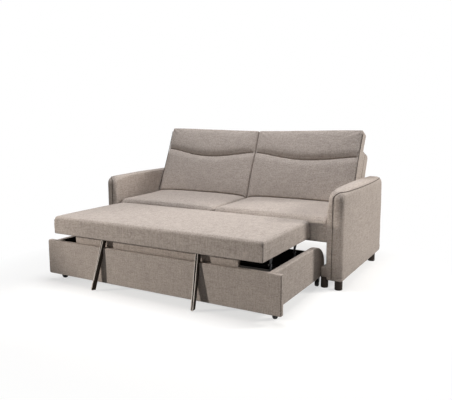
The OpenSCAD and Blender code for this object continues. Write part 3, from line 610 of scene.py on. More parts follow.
def tube(name, path, radius, material, sides=8):
    """Round cord along a path."""
    path = np.array(path, float)
    ahead = np.gradient(path, axis=0)
    ahead = ahead / np.linalg.norm(ahead, axis=1, keepdims=True)
    start = np.array([1.0, 0, 0]) if abs(ahead[0][0]) < 0.9 else np.array([0, 0, 1.0])
    rings = []
    side = np.cross(ahead[0], start)
    for p, t in zip(path, ahead):
        side = side - t * (side @ t)
        side = side / np.linalg.norm(side)
        other = np.cross(t, side)
        angles = [2 * math.pi * k / sides for k in range(sides)]
        rings.append([p + radius * (math.cos(a) * side + math.sin(a) * other) for a in angles])
    return loft(name, rings, material)


def smoothed(values, reach=4):
    """Moving average that keeps the ends."""
    padded = np.pad(values, reach, mode="reflect", reflect_type="odd")
    return np.convolve(padded, np.ones(2 * reach + 1) / (2 * reach + 1), mode="valid")


def smoothed_path(path):
    return np.column_stack([smoothed(values, 2) for values in np.array(path, float).T])


def between(low, high, step):
    count = max(1, round((high - low) / step))
    return [low + (high - low) * k / count for k in range(count + 1)]


def sew(name, path, radius, body, *nodes, sides=6):
    """Piping or thread along a path, on its body, in cloth darkened as painted shade of the seam; nodes
    are the solids it stands for.
    """
    seam = tube(name, path, radius, FINISHES["piping"], sides)
    dress(seam, body, "piping", *nodes)


# Cloth simulation

CLOTH_PRESSURE = 4.0
CLOTH_STEPS = 20


def inflate(piece, pinned, voxel, cap):
    """Swells a padded form by simulated cloth, held where pinned, and keeps moves under a cap."""
    remesh = piece.modifiers.new("remesh", "REMESH")
    remesh.mode = "VOXEL"
    remesh.voxel_size = voxel
    remesh.use_smooth_shade = True
    keep_modified(piece)
    rest = points_of(piece)
    hold = piece.vertex_groups.new(name="held")
    for index, weight in enumerate(pinned(rest)):
        hold.add([index], float(weight), "REPLACE")
    swelling = piece.modifiers.new("swelling", "CLOTH")
    settings = swelling.settings
    settings.quality = 4
    settings.use_pressure = True
    settings.uniform_pressure_force = CLOTH_PRESSURE
    settings.effector_weights.gravity = 0
    settings.vertex_group_mass = hold.name
    swelling.collision_settings.use_collision = False
    swelling.point_cache.frame_start = 1
    swelling.point_cache.frame_end = CLOTH_STEPS
    for number in range(1, CLOTH_STEPS + 1):
        scene.frame_set(number)
    keep_modified(piece)
    scene.frame_set(1)
    move = points_of(piece) - rest
    length = np.linalg.norm(move, axis=1, keepdims=True)
    move_points(piece, rest + move * np.tanh(length / cap) * cap / np.maximum(length, 1e-9))
    finer = piece.modifiers.new("finer", "SUBSURF")
    finer.levels = 1
    finer.render_levels = 1
    keep_modified(piece)


def keep_modified(piece):
    """Applies a piece's modifiers to its mesh."""
    graph = bpy.context.evaluated_depsgraph_get()
    mesh = bpy.data.meshes.new_from_object(piece.evaluated_get(graph))
    piece.modifiers.clear()
    piece.vertex_groups.clear()
    old = piece.data
    piece.data = mesh
    bpy.data.meshes.remove(old)
    mesh.name = piece.name
    mesh.shade_smooth()


# Arms

ARM_LOW, ARM_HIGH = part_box("right_arm_cover")
ARM_CORNER = 50 * MM
ARM_CROWN = 7 * MM
ARM_PROUD = 8 * MM
ARM_FOOT = 6 * MM
ARM_EDGE_INNER = 12 * MM
ARM_EDGE_CORNER = 32 * MM
ARM_EDGE_FRONT = 36 * MM
ARM_FRONT_REACH = 60 * MM
ARM_REAR_RISE = 6 * MM
ARM_EDGE_TOP = 44 * MM
ARM_SEAM_FRONT = 32 * MM
ARM_SEAM_TOP = 92 * MM
ARM_SEAM_START = 0.8
ARM_WELT_R = 2.3 * MM
ARM_PUFF = 4 * MM
ARM_TUCK = 7 * MM
ARM_SEAM_DEPTH = 2.4 * MM
ARM_SEAM_BREADTH = 4.5 * MM


def arm_outline():
    """Side outline of an arm; its padded front stands a little proud."""
    flat_top = ARM_HIGH.z - ARM_CROWN
    front = ARM_LOW.y - ARM_PROUD
    corners = [(front, ARM_LOW.z), (ARM_HIGH.y, ARM_LOW.z), (ARM_HIGH.y, flat_top), (front, flat_top)]
    outline = rounded(corners, [14 * MM, ARM_CORNER, ARM_CORNER, ARM_CORNER + ARM_PROUD], 9 * MM)
    start, end = ARM_LOW.y + ARM_CORNER, ARM_HIGH.y - ARM_CORNER
    share = np.clip((outline[:, 0] - start) / (end - start), 0, 1)
    high = smooth_step(outline[:, 1], flat_top - 80 * MM, flat_top)
    outline[:, 1] += (ARM_CROWN * np.sin(math.pi * share) + ARM_REAR_RISE * share) * high
    return outline


def arm_edges(outline):
    """Roundings of an arm's inner and outer long edges at each point of its outline."""
    y, z = outline.T
    down = np.clip(-outward(outline)[:, 1], 0, 1)
    top = smooth_step(z, ARM_HIGH.z - 110 * MM, ARM_HIGH.z - 25 * MM)
    corner = smooth_step(z, ARM_HIGH.z - 150 * MM, ARM_HIGH.z - 50 * MM)
    corner = corner * (1 - smooth_step(y, ARM_LOW.y + 30 * MM, ARM_LOW.y + 170 * MM))
    inner = ARM_EDGE_INNER + (ARM_EDGE_CORNER - ARM_EDGE_INNER) * corner
    outer = ARM_EDGE_FRONT + (ARM_EDGE_TOP - ARM_EDGE_FRONT) * top
    front = 1 - smooth_step(y, ARM_LOW.y + 20 * MM, ARM_LOW.y + 90 * MM)
    reach = outer + (ARM_FRONT_REACH - outer) * front * (1 - top)
    inner, outer = [edge + (ARM_FOOT - edge) * down for edge in (inner, outer)]
    return (inner, inner), (outer, np.maximum(reach + (ARM_FOOT - reach) * down, outer))


def on_arm(across, y, z, turn):
    """Point near the arm's padding at a distance across it, round a corner centred at y and z."""
    past = max(0.0, ARM_LOW.x + across - ARM_HIGH.x + ARM_EDGE_TOP)
    lean = math.asin(past / ARM_EDGE_TOP)
    out = ARM_CORNER + ARM_PROUD * max(0, math.cos(turn)) - ARM_EDGE_TOP * (1 - math.cos(lean))
    return (ARM_LOW.x + across, y - out * math.cos(turn), z + out * math.sin(turn))


def arm_seam():
    """Piped seam: up the front, along the outer shoulder and down the rear."""
    front_y, rear_y = ARM_LOW.y + ARM_CORNER, ARM_HIGH.y - ARM_CORNER
    corner_z = ARM_HIGH.z - ARM_CROWN - ARM_CORNER
    reach = ARM_SEAM_TOP - ARM_SEAM_FRONT
    rise = between(ARM_LOW.z + 12 * MM, corner_z, 20 * MM)[:-1]
    turns = [k / 12 for k in range(13)]
    front = [on_arm(ARM_SEAM_FRONT, front_y, z, 0) for z in rise]
    rear = [on_arm(ARM_SEAM_FRONT, rear_y, z, math.pi) for z in rise]
    bends = []
    for y, first in ((front_y, True), (rear_y, False)):
        bend = []
        for t in turns:
            share = ARM_SEAM_START * (1 - math.cos(math.pi * t)) / 2
            turn = math.pi / 2 * (t if first else 2 - t)
            bend.append(on_arm(ARM_SEAM_FRONT + reach * share, y, corner_z, turn))
        bends.append(bend)
    top = []
    for k in range(1, 24):
        bow = math.sin(math.pi * k / 24)
        share = ARM_SEAM_START + (1 - ARM_SEAM_START) * bow ** 0.6
        y = front_y + (rear_y - front_y) * k / 24
        top.append(on_arm(ARM_SEAM_FRONT + reach * share, y, corner_z + ARM_CROWN * bow, math.pi / 2))
    return front + bends[0] + top + bends[1][::-1] + rear[::-1]


def make_arm(name, sign):
    outline = arm_outline()
    arm = upright(f"{name}_arm_upholstery", outline, (ARM_LOW.x, ARM_HIGH.x), arm_edges(outline),
                  FINISHES["upholstery"], 2.6 * MM, ARM_PUFF, sign)
    soften(arm, 1.1 * MM, (0.11, 0.13, 0.12), 3 + sign)
    points = points_of(arm)
    near_front = 1 - smooth_step(points[:, 1], ARM_LOW.y, ARM_LOW.y + 32 * MM)
    inward = 1 - smooth_step(np.abs(points[:, 0]), ARM_LOW.x, ARM_LOW.x + 30 * MM)
    height = np.clip((points[:, 2] - ARM_LOW.z) / (ARM_HIGH.z - ARM_LOW.z), 0, 1)
    points[:, 0] -= sign * ARM_TUCK * near_front * inward * np.sin(math.pi * height) ** 0.5
    move_points(arm, points)
    seam = refined([(sign * x, y, z) for x, y, z in arm_seam()], 6 * MM)
    seam = laid_on(surface_of(arm), seam)
    move_points(arm, press(points_of(arm), normals_of(arm), refined(seam),
                           ARM_SEAM_DEPTH, ARM_SEAM_BREADTH))
    dress(arm, "sofa", "upholstery", f"{name}_arm_cover")
    sew(f"{name}_arm_welt", seam, ARM_WELT_R, "sofa", f"{name}_arm_piping", sides=WELT_SIDES)


# Seat cushions

SEAT_LOW, SEAT_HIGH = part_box("right_seat_cushion")
SEAT_CROWN = 26 * MM
# Share of the crown that is drawn before the simulated cloth adds the rest
SEAT_CROWN_SHARE = 0.75
SEAT_ROLL = 36 * MM
SEAT_REAR_RISE = 9 * MM
SEAT_CREASE = 1.0 * MM
SEAT_WAVE = 2.2 * MM
SEAT_PUCKER = 1.3 * MM
SEAT_PUCKER_REACH = 30 * MM
SEAT_SEAM_IN = 9 * MM
SEAT_SEAM_BREADTH = 3.2 * MM
SEAT_SEAM_DEPTH = 2.2 * MM
SEAT_FOOT_R = 6 * MM
SKIRT_T = 18 * MM
DECK_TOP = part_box("seat_deck_frame")[1].z + 2.3 * MM


def seat_shape(crown):
    """Shape of a seat cushion: its crown, drawn-in sides and the skirt over the deck rail."""
    edge = SEAT_HIGH.z - SEAT_CROWN
    centre = (SEAT_LOW + SEAT_HIGH) / 2
    half = (SEAT_HIGH - SEAT_LOW) / 2

    def shape(points):
        a = (np.abs(points[:, 0]) - centre.x) / half.x
        b = (points[:, 1] - centre.y) / half.y
        behind = points[:, 1] > SEAT_LOW.y + SKIRT_T + 0.7 * MM
        share = (points[:, 2] - SEAT_LOW.z) / (edge - SEAT_LOW.z)
        points[:, 2] = np.where(behind, DECK_TOP + share * (edge - DECK_TOP), points[:, 2])
        lift = np.clip(share, 0, 1) ** 3
        points[:, 2] += crown * swell(a, 2.6) * swell(b, 3.2) * lift
        points[:, 2] += SEAT_REAR_RISE * smooth_step(b, -0.4, 0.9) * lift
        sag = np.clip(points[:, 2] - DECK_TOP, 0, None) / (edge - DECK_TOP)
        side = 4 * MM * (1 - b * b) * np.abs(a) ** 6 * np.sin(np.clip(sag, 0, 1) * math.pi)
        points[:, 0] -= np.sign(points[:, 0]) * np.sign(a) * side
        return points
    return shape


def seat_pins(points):
    """The seat cushion is held at its sides, skirt and underside and along its seams on top."""
    edge = SEAT_HIGH.z - SEAT_CROWN
    x = np.abs(points[:, 0])
    inside = np.minimum(np.minimum(x - SEAT_LOW.x, SEAT_HIGH.x - x),
                        np.minimum(points[:, 1] - SEAT_LOW.y, SEAT_HIGH.y - points[:, 1]))
    free = smooth_step(points[:, 2], edge - 42 * MM, edge - 8 * MM)
    return 1 - free * smooth_step(inside, 8 * MM, 70 * MM)


def make_seat_cushion(name, sign):
    edge = SEAT_HIGH.z - SEAT_CROWN
    step = 12 * MM
    skirt_line = SEAT_LOW.y + SKIRT_T
    xs = lines(SEAT_LOW.x, SEAT_HIGH.x, SEAT_ROLL, step)
    ys = lines(SEAT_LOW.y, SEAT_HIGH.y, SEAT_ROLL, step, (skirt_line, skirt_line + 1.4 * MM))
    zs = lines(SEAT_LOW.z, edge, SEAT_ROLL, step)

    def radius_at(points):
        share = smooth_step(points[:, 2], edge - 90 * MM, edge - 50 * MM)
        return SEAT_FOOT_R + (SEAT_ROLL - SEAT_FOOT_R) * share

    crown = SEAT_CROWN * SEAT_CROWN_SHARE
    xs = sorted(sign * x for x in xs)
    cushion = block(f"{name}_seat_pad", xs, ys, zs, SEAT_ROLL, FINISHES["cushion_cloth"],
                    seat_shape(crown), radius_at)
    inflate(cushion, seat_pins, 7 * MM, 12 * MM)
    points = points_of(cushion)
    normals = normals_of(cushion)
    top = smooth_step(points[:, 2], edge - 30 * MM, edge)
    creases = ripple(points, (0.09, 0.05, 0.05), 11 + sign)
    broad = ripple(points, (0.30, 0.22, 0.2), 5 + sign)
    push = (SEAT_CREASE * creases + SEAT_WAVE * broad) * top
    near_side = np.minimum(np.abs(np.abs(points[:, 0]) - SEAT_LOW.x),
                           np.abs(SEAT_HIGH.x - np.abs(points[:, 0])))
    puckers = ripple(points, (0.05, 0.017, 0.05), 17 + sign)
    push += SEAT_PUCKER * puckers * np.exp(-near_side / SEAT_PUCKER_REACH) * top
    seam = (near_side - SEAT_SEAM_IN) / SEAT_SEAM_BREADTH
    sewn = smooth_step(points[:, 2], edge - 36 * MM, edge - 12 * MM)
    push -= SEAT_SEAM_DEPTH * np.exp(-seam * seam) * sewn
    points += normals * push[:, None]
    points[:, 0] = sign * np.clip(sign * points[:, 0], SEAT_LOW.x, SEAT_HIGH.x + 3 * MM)
    move_points(cushion, points)
    dress(cushion, "sofa", "cushion_cloth", f"{name}_seat_cushion")
    return cushion


# Back

LEAN = math.radians(24)
BACK_LOW, BACK_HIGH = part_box("back_cover")
BACK_UP = np.array([math.sin(LEAN), math.cos(LEAN)])
BACK_OUT = np.array([math.cos(LEAN), -math.sin(LEAN)])
BACK_START = np.array([BACK_LOW.y, SEAT_HIGH.z + 1 * MM])
BACK_H = 397 * MM
BACK_T = 172 * MM
BODY_EDGE = 14 * MM
# Places of the back body's welt and side seam, as shares of its edge and its thickness
WELT_IN = 0.35
SIDE_SEAM = 0.42
BACK_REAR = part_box("rear_panel")[1].y
CUSHION_LOW, CUSHION_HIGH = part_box("right_back_cushion")
CUSHION_H = 500 * MM
CUSHION_T = 131 * MM
CUSHION_SEAM = -0.8 * CUSHION_T
CHANNEL_U = 305 * MM
CHANNEL_DIP = 40 * MM
CHANNEL_CLIMB_INNER = 8 * MM
CHANNEL_CLIMB_LEFT = 19 * MM
CHANNEL_DEPTH = 19 * MM
CHANNEL_ROLL = 31 * MM
CHANNEL_STITCH = 4.5 * MM
STITCH_SHARE = 0.42
ROLL_SHARE = 0.58
CHANNEL_PUCKER = 1.5 * MM
CUSHION_WAVE = 2.4 * MM
CUSHION_CREASE = 0.9 * MM
SIDE_PUCKER = 1.6 * MM
FOOT_CREASE = 1.8 * MM
FOOT_CREASE_REACH = 45 * MM
PUCKER_REACH = 26 * MM
OUTER_RISE = 15 * MM
FOOT_GAP = 0.3 * MM
# Share of a back cushion's bulge that is drawn before the simulated cloth adds the rest
CUSHION_FULLNESS = 0.62
# Half of a back cushion's breadth, for the puckers along its sides
CUSHION_HALF = 421 * MM
# How far a back cushion's sides are drawn in at mid height, as a share of the distance from the middle
SIDE_DRAW = 0.008


def back_point(u, v):
    """Y and Z of points u up the lean of the back and v out across it."""
    return BACK_START + np.outer(u, BACK_UP) + np.outer(v, BACK_OUT)


def back_place(points):
    """Heights up the lean and distances across it of points in the room."""
    off = points[:, 1:] - BACK_START
    return off @ BACK_UP, off @ BACK_OUT


def back_foot(v):
    """Height along the lean at which a line across the lean meets the seat."""
    return (SEAT_HIGH.z + FOOT_GAP - BACK_START[1] - v * BACK_OUT[1]) / BACK_UP[1]


def across(x):
    """Place across a back cushion, from -1 to 1."""
    centre = (CUSHION_LOW.x + CUSHION_HIGH.x) / 2
    return (np.abs(x) - centre) / (CUSHION_HIGH.x - centre)


def channel_height(x):
    """Height up the lean of the sewn channel, which climbs further at the left outer end."""
    a = np.clip(across(x), -1, 1)
    climb = CHANNEL_CLIMB_INNER * smooth_step(-a, 0, 1)
    climb = climb + CHANNEL_CLIMB_LEFT * smooth_step(a, 0, 1) * (x < 0)
    return CHANNEL_U - CHANNEL_DIP * (1 - a * a) ** 1.5 + climb


def cushion_shape(fullness):
    """Shape of a back cushion whose blank was drawn across, up and out as X, Y and Z."""
    def shape(points):
        a = np.clip(across(points[:, 0]), -1, 1)
        s = np.clip(points[:, 1] / CUSHION_H, 0, 1)
        v = points[:, 2]
        front = smooth_step(-v, -CUSHION_SEAM - 12 * MM, -CUSHION_SEAM)
        full = swell(a, 4.5) * swell(s, 8) * swell(1 - s, 3.5)
        crown = 0.75 + 0.25 * (1 - a * a) * np.sin(math.pi * s)
        v = v - (CUSHION_T + CUSHION_SEAM) * full * crown * front * fullness
        rear_crown = 3 * MM * (1 - (1 - a * a) * np.sin(math.pi * s))
        v = v - rear_crown * smooth_step(v, -30 * MM, 0)
        foot = back_foot(v)
        u = foot * (1 - s) + (CUSHION_H + OUTER_RISE * smooth_step(a, -1, 1)) * s
        draw = 1 - SIDE_DRAW * np.sin(math.pi * s) * np.sign(a) * np.abs(a) ** 4
        room = back_point(u, v)
        return np.column_stack([points[:, 0] * draw, room])
    return shape


def cushion_pins(points):
    """A back cushion is held behind its side seam, along the channel and at its foot."""
    u, v = back_place(points)
    behind = 1 - smooth_step(-v, -CUSHION_SEAM - 6 * MM, -CUSHION_SEAM + 6 * MM)
    off = (u - channel_height(points[:, 0])) / (9 * MM)
    channel = np.exp(-off * off)
    foot = 1 - smooth_step(u - back_foot(v), 4 * MM, 26 * MM)
    return np.clip(np.maximum(np.maximum(behind, channel), foot), 0, 1)


def sew_channel(points, seed):
    """Push of the sewn channel, with its rolls and the small puckers beside it."""
    u, v = back_place(points)
    a = np.clip(across(points[:, 0]), -1, 1)
    front = smooth_step(-v, -CUSHION_SEAM - 8 * MM, -CUSHION_SEAM + 4 * MM)
    off = u - channel_height(points[:, 0])
    line = np.exp(-(off / CHANNEL_STITCH) ** 2)
    roll = np.exp(-(off / CHANNEL_ROLL) ** 2)
    ends = swell(a, 16)
    puckers = ripple(points, (0.016, 0.09, 0.06), seed)
    push = -(STITCH_SHARE * CHANNEL_DEPTH * line + ROLL_SHARE * CHANNEL_DEPTH * roll) * ends
    push = push + CHANNEL_PUCKER * puckers * np.exp(-np.abs(off) / PUCKER_REACH) * ends
    return push * front


def rest_on_seat(points, seats):
    """Lets a back cushion's foot down onto the seat cushions."""
    u, v = back_place(points)
    reach = 120 * MM
    above = (u - back_foot(v)) * BACK_UP[1]
    share = 1 - smooth_step(above, 0, reach)
    for index in np.nonzero(share > 0)[0]:
        x, y, _ = points[index]
        heights = [hit[0].z for hit in (s.ray_cast(Vector((x, y, 0.7)), Vector((0, 0, -1))) for s in seats)
                   if hit[0] is not None and hit[0].z > DECK_TOP + 0.02]
        if heights:
            drop = np.clip(SEAT_HIGH.z - max(heights) - 1.0 * MM, -12 * MM, 26 * MM)
            points[index, 2] -= drop * share[index]
    return points


def make_channel_seam(name, sign, surface):
    """Thread line in the bottom of a back cushion's channel, dark as painted shade of the crease."""
    toward = Vector((0, *BACK_OUT))
    path = []
    for x in between(CUSHION_LOW.x + 5 * MM, CUSHION_HIGH.x - 5 * MM, 6 * MM):
        u = float(channel_height(np.array([sign * x]))[0])
        y, z = back_point([u], [-0.4])[0]
        spot = surface.ray_cast(Vector((sign * x, y, z)), toward)[0]
        if spot is not None:
            path.append(spot)
    sew(f"{name}_channel_seam", smoothed_path(path), THREAD_R, "sofa")


def make_back_cushion(name, sign, seats):
    edge_r = 10 * MM
    step = 11 * MM
    blank_x = sorted(sign * x for x in lines(CUSHION_LOW.x, CUSHION_HIGH.x, edge_r, step))
    blank_y = lines(0, CUSHION_H, edge_r, step)
    blank_z = lines(CUSHION_SEAM, -FOOT_GAP, edge_r, step)
    fullness = CUSHION_FULLNESS
    cushion = block(f"{name}_back_pad", blank_x, blank_y, blank_z, edge_r,
                    FINISHES["cushion_cloth"], cushion_shape(fullness))
    inflate(cushion, cushion_pins, 7 * MM, 22 * MM)
    points = points_of(cushion)
    normals = normals_of(cushion)
    u, v = back_place(points)
    a = np.clip(across(points[:, 0]), -1, 1)
    front = smooth_step(-v, -CUSHION_SEAM - 8 * MM, -CUSHION_SEAM + 8 * MM)
    push = sew_channel(points, 23 + sign)
    push += CUSHION_WAVE * ripple(points, (0.26, 0.2, 0.2), 31 + sign) * front
    push += CUSHION_CREASE * ripple(points, (0.08, 0.07, 0.07), 37 + sign) * front
    side_puckers = ripple(points, (0.06, 0.03, 0.02), 41 + sign)
    from_side = (1 - np.abs(a)) * CUSHION_HALF
    push += SIDE_PUCKER * side_puckers * np.exp(-from_side / PUCKER_REACH) * front
    foot_creases = ripple(points, (0.05, 0.05, 0.10), 43 + sign)
    from_foot = np.clip(u - back_foot(v), 0, 1)
    push += FOOT_CREASE * foot_creases * np.exp(-from_foot / FOOT_CREASE_REACH) * front
    points = points + normals * push[:, None]
    points = rest_on_seat(points, seats)
    inner, outer = CUSHION_LOW.x, CUSHION_HIGH.x
    points[:, 0] = sign * np.clip(sign * points[:, 0], inner, outer + 1 * MM)
    move_points(cushion, points)
    dress(cushion, "sofa", "cushion_cloth", f"{name}_back_cushion")
    make_channel_seam(name, sign, surface_of(cushion))
    heights = np.array(between(0.035 * CUSHION_H, 0.975 * CUSHION_H, 12 * MM))
    seam = back_point(heights + back_foot(CUSHION_SEAM) * (1 - heights / CUSHION_H),
                      np.full(len(heights), CUSHION_SEAM + 2 * MM))
    draw = 1 - SIDE_DRAW * np.sin(math.pi * heights / CUSHION_H)
    path = [(sign * (outer + 1.2 * MM) * d, p[0], p[1]) for d, p in zip(draw, seam)]
    sew(f"{name}_back_welt", path, BACK_WELT_R, "sofa", f"{name}_back_piping", sides=WELT_SIDES)


def back_outline():
    """Side outline of the back body: upright, leaning back, over the top and down."""
    top_front = BACK_START + BACK_H * BACK_UP
    top_rear = BACK_START + (BACK_H + 15 * MM) * BACK_UP + BACK_T * BACK_OUT
    knee = top_rear[1] - (top_rear[0] - BACK_REAR) / math.tan(LEAN)
    corners = [(BACK_LOW.y, BACK_LOW.z), tuple(BACK_START), tuple(top_front), tuple(top_rear),
               (BACK_REAR, knee), (BACK_REAR, BACK_LOW.z)]
    return rounded(corners, [r * MM for r in (10, 60, 22, 24, 60, 10)], 12 * MM)


def make_back_body():
    outline = back_outline()
    edge = BODY_EDGE
    half = BACK_HIGH.x
    flats = between(-half + edge, half - edge, 24 * MM)
    turns = 5
    out = outward(outline)

    def ring(x, inset):
        return np.column_stack([np.full(len(outline), x), outline - out * inset])

    rings = []
    for k in range(turns):
        a = math.radians(90 * k / turns)
        rings.append(ring(-half + edge * (1 - math.sin(a)), edge * (1 - math.cos(a))))
    rings = rings[::-1]
    rings = [ring(-half, edge)] + rings[:-1] + [ring(x, 0.0) for x in flats]
    for k in range(1, turns):
        a = math.radians(90 * k / turns)
        rings.append(ring(half - edge * (1 - math.sin(a)), edge * (1 - math.cos(a))))
    rings.append(ring(half, edge))
    body = loft("back_upholstery", rings, FINISHES["upholstery"])
    soften(body, 1.2 * MM, (0.2, 0.12, 0.12), 51)
    dress(body, "sofa", "upholstery", "back_cover")
    above = outline[:, 1] > BACK_LOW.z + 30 * MM
    path = outline[above] - out[above] * edge * WELT_IN
    for name, sign in SIDES.items():
        line = [(sign * (half - WELT_IN * edge + 0.4 * MM), p[0], p[1]) for p in path]
        sew(f"{name}_back_body_welt", line, BODY_WELT_R, "sofa", sides=WELT_SIDES)
        heights = np.array(between(0.1 * BACK_H, BACK_H - 14 * MM, 14 * MM))
        seam = back_point(heights, np.full(len(heights), SIDE_SEAM * BACK_T))
        seam = laid_on(surface_of(body), [(sign * half, y, z) for y, z in seam])
        sew(f"{name}_back_body_seam", seam, BODY_THREAD_R, "sofa")


# Platform

PAD_LOW, PAD_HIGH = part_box("platform_pad")
PAD_CROWN = 9 * MM
PAD_EDGE = 17 * MM
PAD_CORNER = 7 * MM
PAD_FRONT_PROUD = 0.7 * MM
PAD_BULGE = 1.6 * MM
PAD_WAVE = 1.3 * MM
PAD_CREASE = 0.6 * MM
PAD_FOLD_DEPTH = 1.8 * MM
PAD_FOLD_BREADTH = 2.5 * MM
POCKET_LOW, POCKET_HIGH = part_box("platform_frame")
POCKET_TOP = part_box("platform_board")[1].z + 0.4 * MM


def make_platform_pad():
    wall = 0.4 * MM
    top = PAD_HIGH.z - PAD_CROWN
    px, py0, py1 = POCKET_HIGH.x + wall, POCKET_LOW.y - wall, POCKET_HIGH.y + wall
    step = 14 * MM
    lip = 1.2 * MM
    fold = [k * 1.5 * MM for k in range(-4, 5)]
    xs = lines(PAD_LOW.x, PAD_HIGH.x, PAD_EDGE, step, [-px, -px + lip, px - lip, px] + fold)
    ys = lines(PAD_LOW.y, PAD_HIGH.y, PAD_EDGE, step, (py0, py0 + lip, py1 - lip, py1))
    zs = lines(PAD_LOW.z, top, PAD_EDGE, 9 * MM)
    centre = (PAD_LOW + PAD_HIGH) / 2
    half = (PAD_HIGH - PAD_LOW) / 2

    def radius_at(points):
        share = smooth_step(points[:, 2], top - 2.4 * PAD_EDGE, top - 0.9 * PAD_EDGE)
        return PAD_CORNER + (PAD_EDGE - PAD_CORNER) * share

    def shape(points):
        a = points[:, 0] / half.x
        b = (points[:, 1] - centre.y) / half.y
        under = points[:, 2] < PAD_LOW.z + 0.3 * MM
        inside = (np.abs(points[:, 0]) < px - lip / 2) & (points[:, 1] > py0 + lip / 2)
        inside = inside & (points[:, 1] < py1 - lip / 2) & under
        lift = np.clip((points[:, 2] - PAD_LOW.z) / (top - PAD_LOW.z), 0, 1)
        points[:, 2] += PAD_CROWN * swell(a, 3) * swell(b, 3) * lift ** 2
        points[:, 2] = np.where(inside, POCKET_TOP, points[:, 2])
        bulge = PAD_BULGE * np.sin(math.pi * lift)
        points[:, 1] += np.where(np.abs(b) > 0.985, np.sign(b) * bulge, 0) * (~inside)
        points[:, 0] += np.where(np.abs(a) > 0.993, np.sign(a) * bulge, 0) * (~inside)
        return points

    pad = block("platform_mattress", xs, ys, zs, PAD_EDGE, FINISHES["cushion_cloth"], shape, radius_at)
    points = points_of(pad)
    normals = normals_of(pad)
    outer = smooth_step(points[:, 2], PAD_LOW.z + 8 * MM, top)
    wave = PAD_WAVE * ripple(points, (0.3, 0.2, 0.2), 61)
    push = (wave + PAD_CREASE * ripple(points, 0.07, 67)) * outer
    push -= PAD_FOLD_DEPTH * np.exp(-(points[:, 0] / PAD_FOLD_BREADTH) ** 2) * outer
    points = points + normals * push[:, None]
    points[:, 1] = np.maximum(points[:, 1], PAD_LOW.y - PAD_FRONT_PROUD)
    move_points(pad, points)
    dress(pad, "platform", "cushion_cloth", "platform_pad")
    seam_z = between(PAD_LOW.z + 5 * MM, top - 20 * MM, 10 * MM)
    inset = 0.28 * PAD_CORNER
    for name, sign in SIDES.items():
        for end, y, turn in (("front", PAD_LOW.y, 1), ("rear", PAD_HIGH.y, -1)):
            path = [(sign * (half.x - inset), y + turn * inset, z) for z in seam_z]
            sew(f"{end}_{name}_mattress_seam", path, THREAD_R, "platform")


# Flat upholstered panels

def make_panel(node, body, edge, step, wobble, seed):
    """Upholstered board in the place of a plain one."""
    low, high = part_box(node)
    grid = [lines(low[k], high[k], edge, step) for k in range(3)]
    panel = block(f"{node}_upholstery", *grid, edge, FINISHES["upholstery"])
    soften(panel, wobble, (0.16, 0.14, 0.12), seed)
    return dress(panel, body, "upholstery", node)


SIDE_CURVE = (180 * MM, 130 * MM)
SIDE_FOOT = 12 * MM


def line_and_shade_inside(piece, inner):
    """Gives the chosen faces the near-black lining, partly the drawer's real dark lining and partly
    painted shade of its deep inside.
    """
    piece.data.materials.append(LINING_AND_PAINTED_SHADE)
    for face in piece.data.polygons:
        if inner(face.center):
            face.material_index = 1


def make_drawer_side(name, sign):
    low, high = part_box("right_drawer_side")
    curve = [math.radians(90 * k / 20) for k in range(21)]
    rear = [(high.y + SIDE_CURVE[0] * (math.cos(a) - 1), high.z + SIDE_CURVE[1] * (math.sin(a) - 1))
            for a in curve]
    foot = [(high.y - SIDE_FOOT * (1 - math.sin(a)), low.z + SIDE_FOOT * (1 - math.cos(a)))
            for a in curve[::4]]
    corners = [(low.y, low.z)] + foot + rear + [(low.y, high.z)]
    path = refined([(0, y, z) for y, z in corners + corners[:1]], 14 * MM)
    edge = 6 * MM
    side = upright(f"{name}_drawer_side_upholstery", path[:-1, 1:], (low.x, high.x), [(edge, edge)] * 2,
                   FINISHES["upholstery"], 6 * MM, sign=sign)
    bare_y, bare_z = high.y - SIDE_CURVE[0] * 0.75, high.z - SIDE_CURVE[1]

    def dark(centre):
        """The inner face, and the edge of the rounded rear corner behind its outer cloth."""
        behind = centre.y > bare_y and centre.z > bare_z
        return abs(centre.x) < low.x + 1.5 * MM or (behind and abs(centre.x) < high.x - 5 * MM)

    line_and_shade_inside(side, dark)
    dress(side, "drawer", "upholstery", f"{name}_drawer_side")


def make_panels():
    front = make_panel("drawer_front", "drawer", 6 * MM, 14 * MM, 0.5 * MM, 71)
    front_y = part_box("drawer_front")[1].y - 1 * MM
    line_and_shade_inside(front, lambda centre: centre.y > front_y)
    back = make_panel("drawer_back", "drawer", 4 * MM, 14 * MM, 0.3 * MM, 73)
    back_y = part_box("drawer_back")[0].y + 1 * MM
    line_and_shade_inside(back, lambda centre: centre.y < back_y)
    make_panel("riser_board", "platform", 4 * MM, 12 * MM, 0.3 * MM, 79)
    make_panel("rear_panel", "sofa", 4 * MM, 16 * MM, 0.5 * MM, 83)
    for seed, (name, sign) in enumerate(SIDES.items()):
        make_panel(f"{name}_guide_rail", "sofa", 5 * MM, 12 * MM, 0.3 * MM, 89 + seed)
        make_drawer_side(name, sign)
    low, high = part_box("drawer_front")
    inset = 1.4 * MM
    heights = between(low.z + 9 * MM, high.z - 9 * MM, 12 * MM)
    for name, sign in SIDES.items():
        path = [(sign * (high.x - inset), low.y + inset, z) for z in heights]
        sew(f"{name}_drawer_front_seam", path, FRONT_THREAD_R, "drawer")


# Pull straps

STRAP_W = 27 * MM
STRAP_T = 6.4 * MM
STRAP_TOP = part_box("right_pull_strap")[1].z - 0.6 * MM
STRAP_FOOT = 13 * MM
DRAWER_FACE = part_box("drawer_front")[0].y
DRAWER_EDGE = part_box("drawer_front")[1].z
# Distance of the straps behind the drawer's face in millimetres, negative in front of it: at
# their tops, at the drawer's edge, halfway and at their feet
STRAP_STANDING = (10, -20, -32, -43)
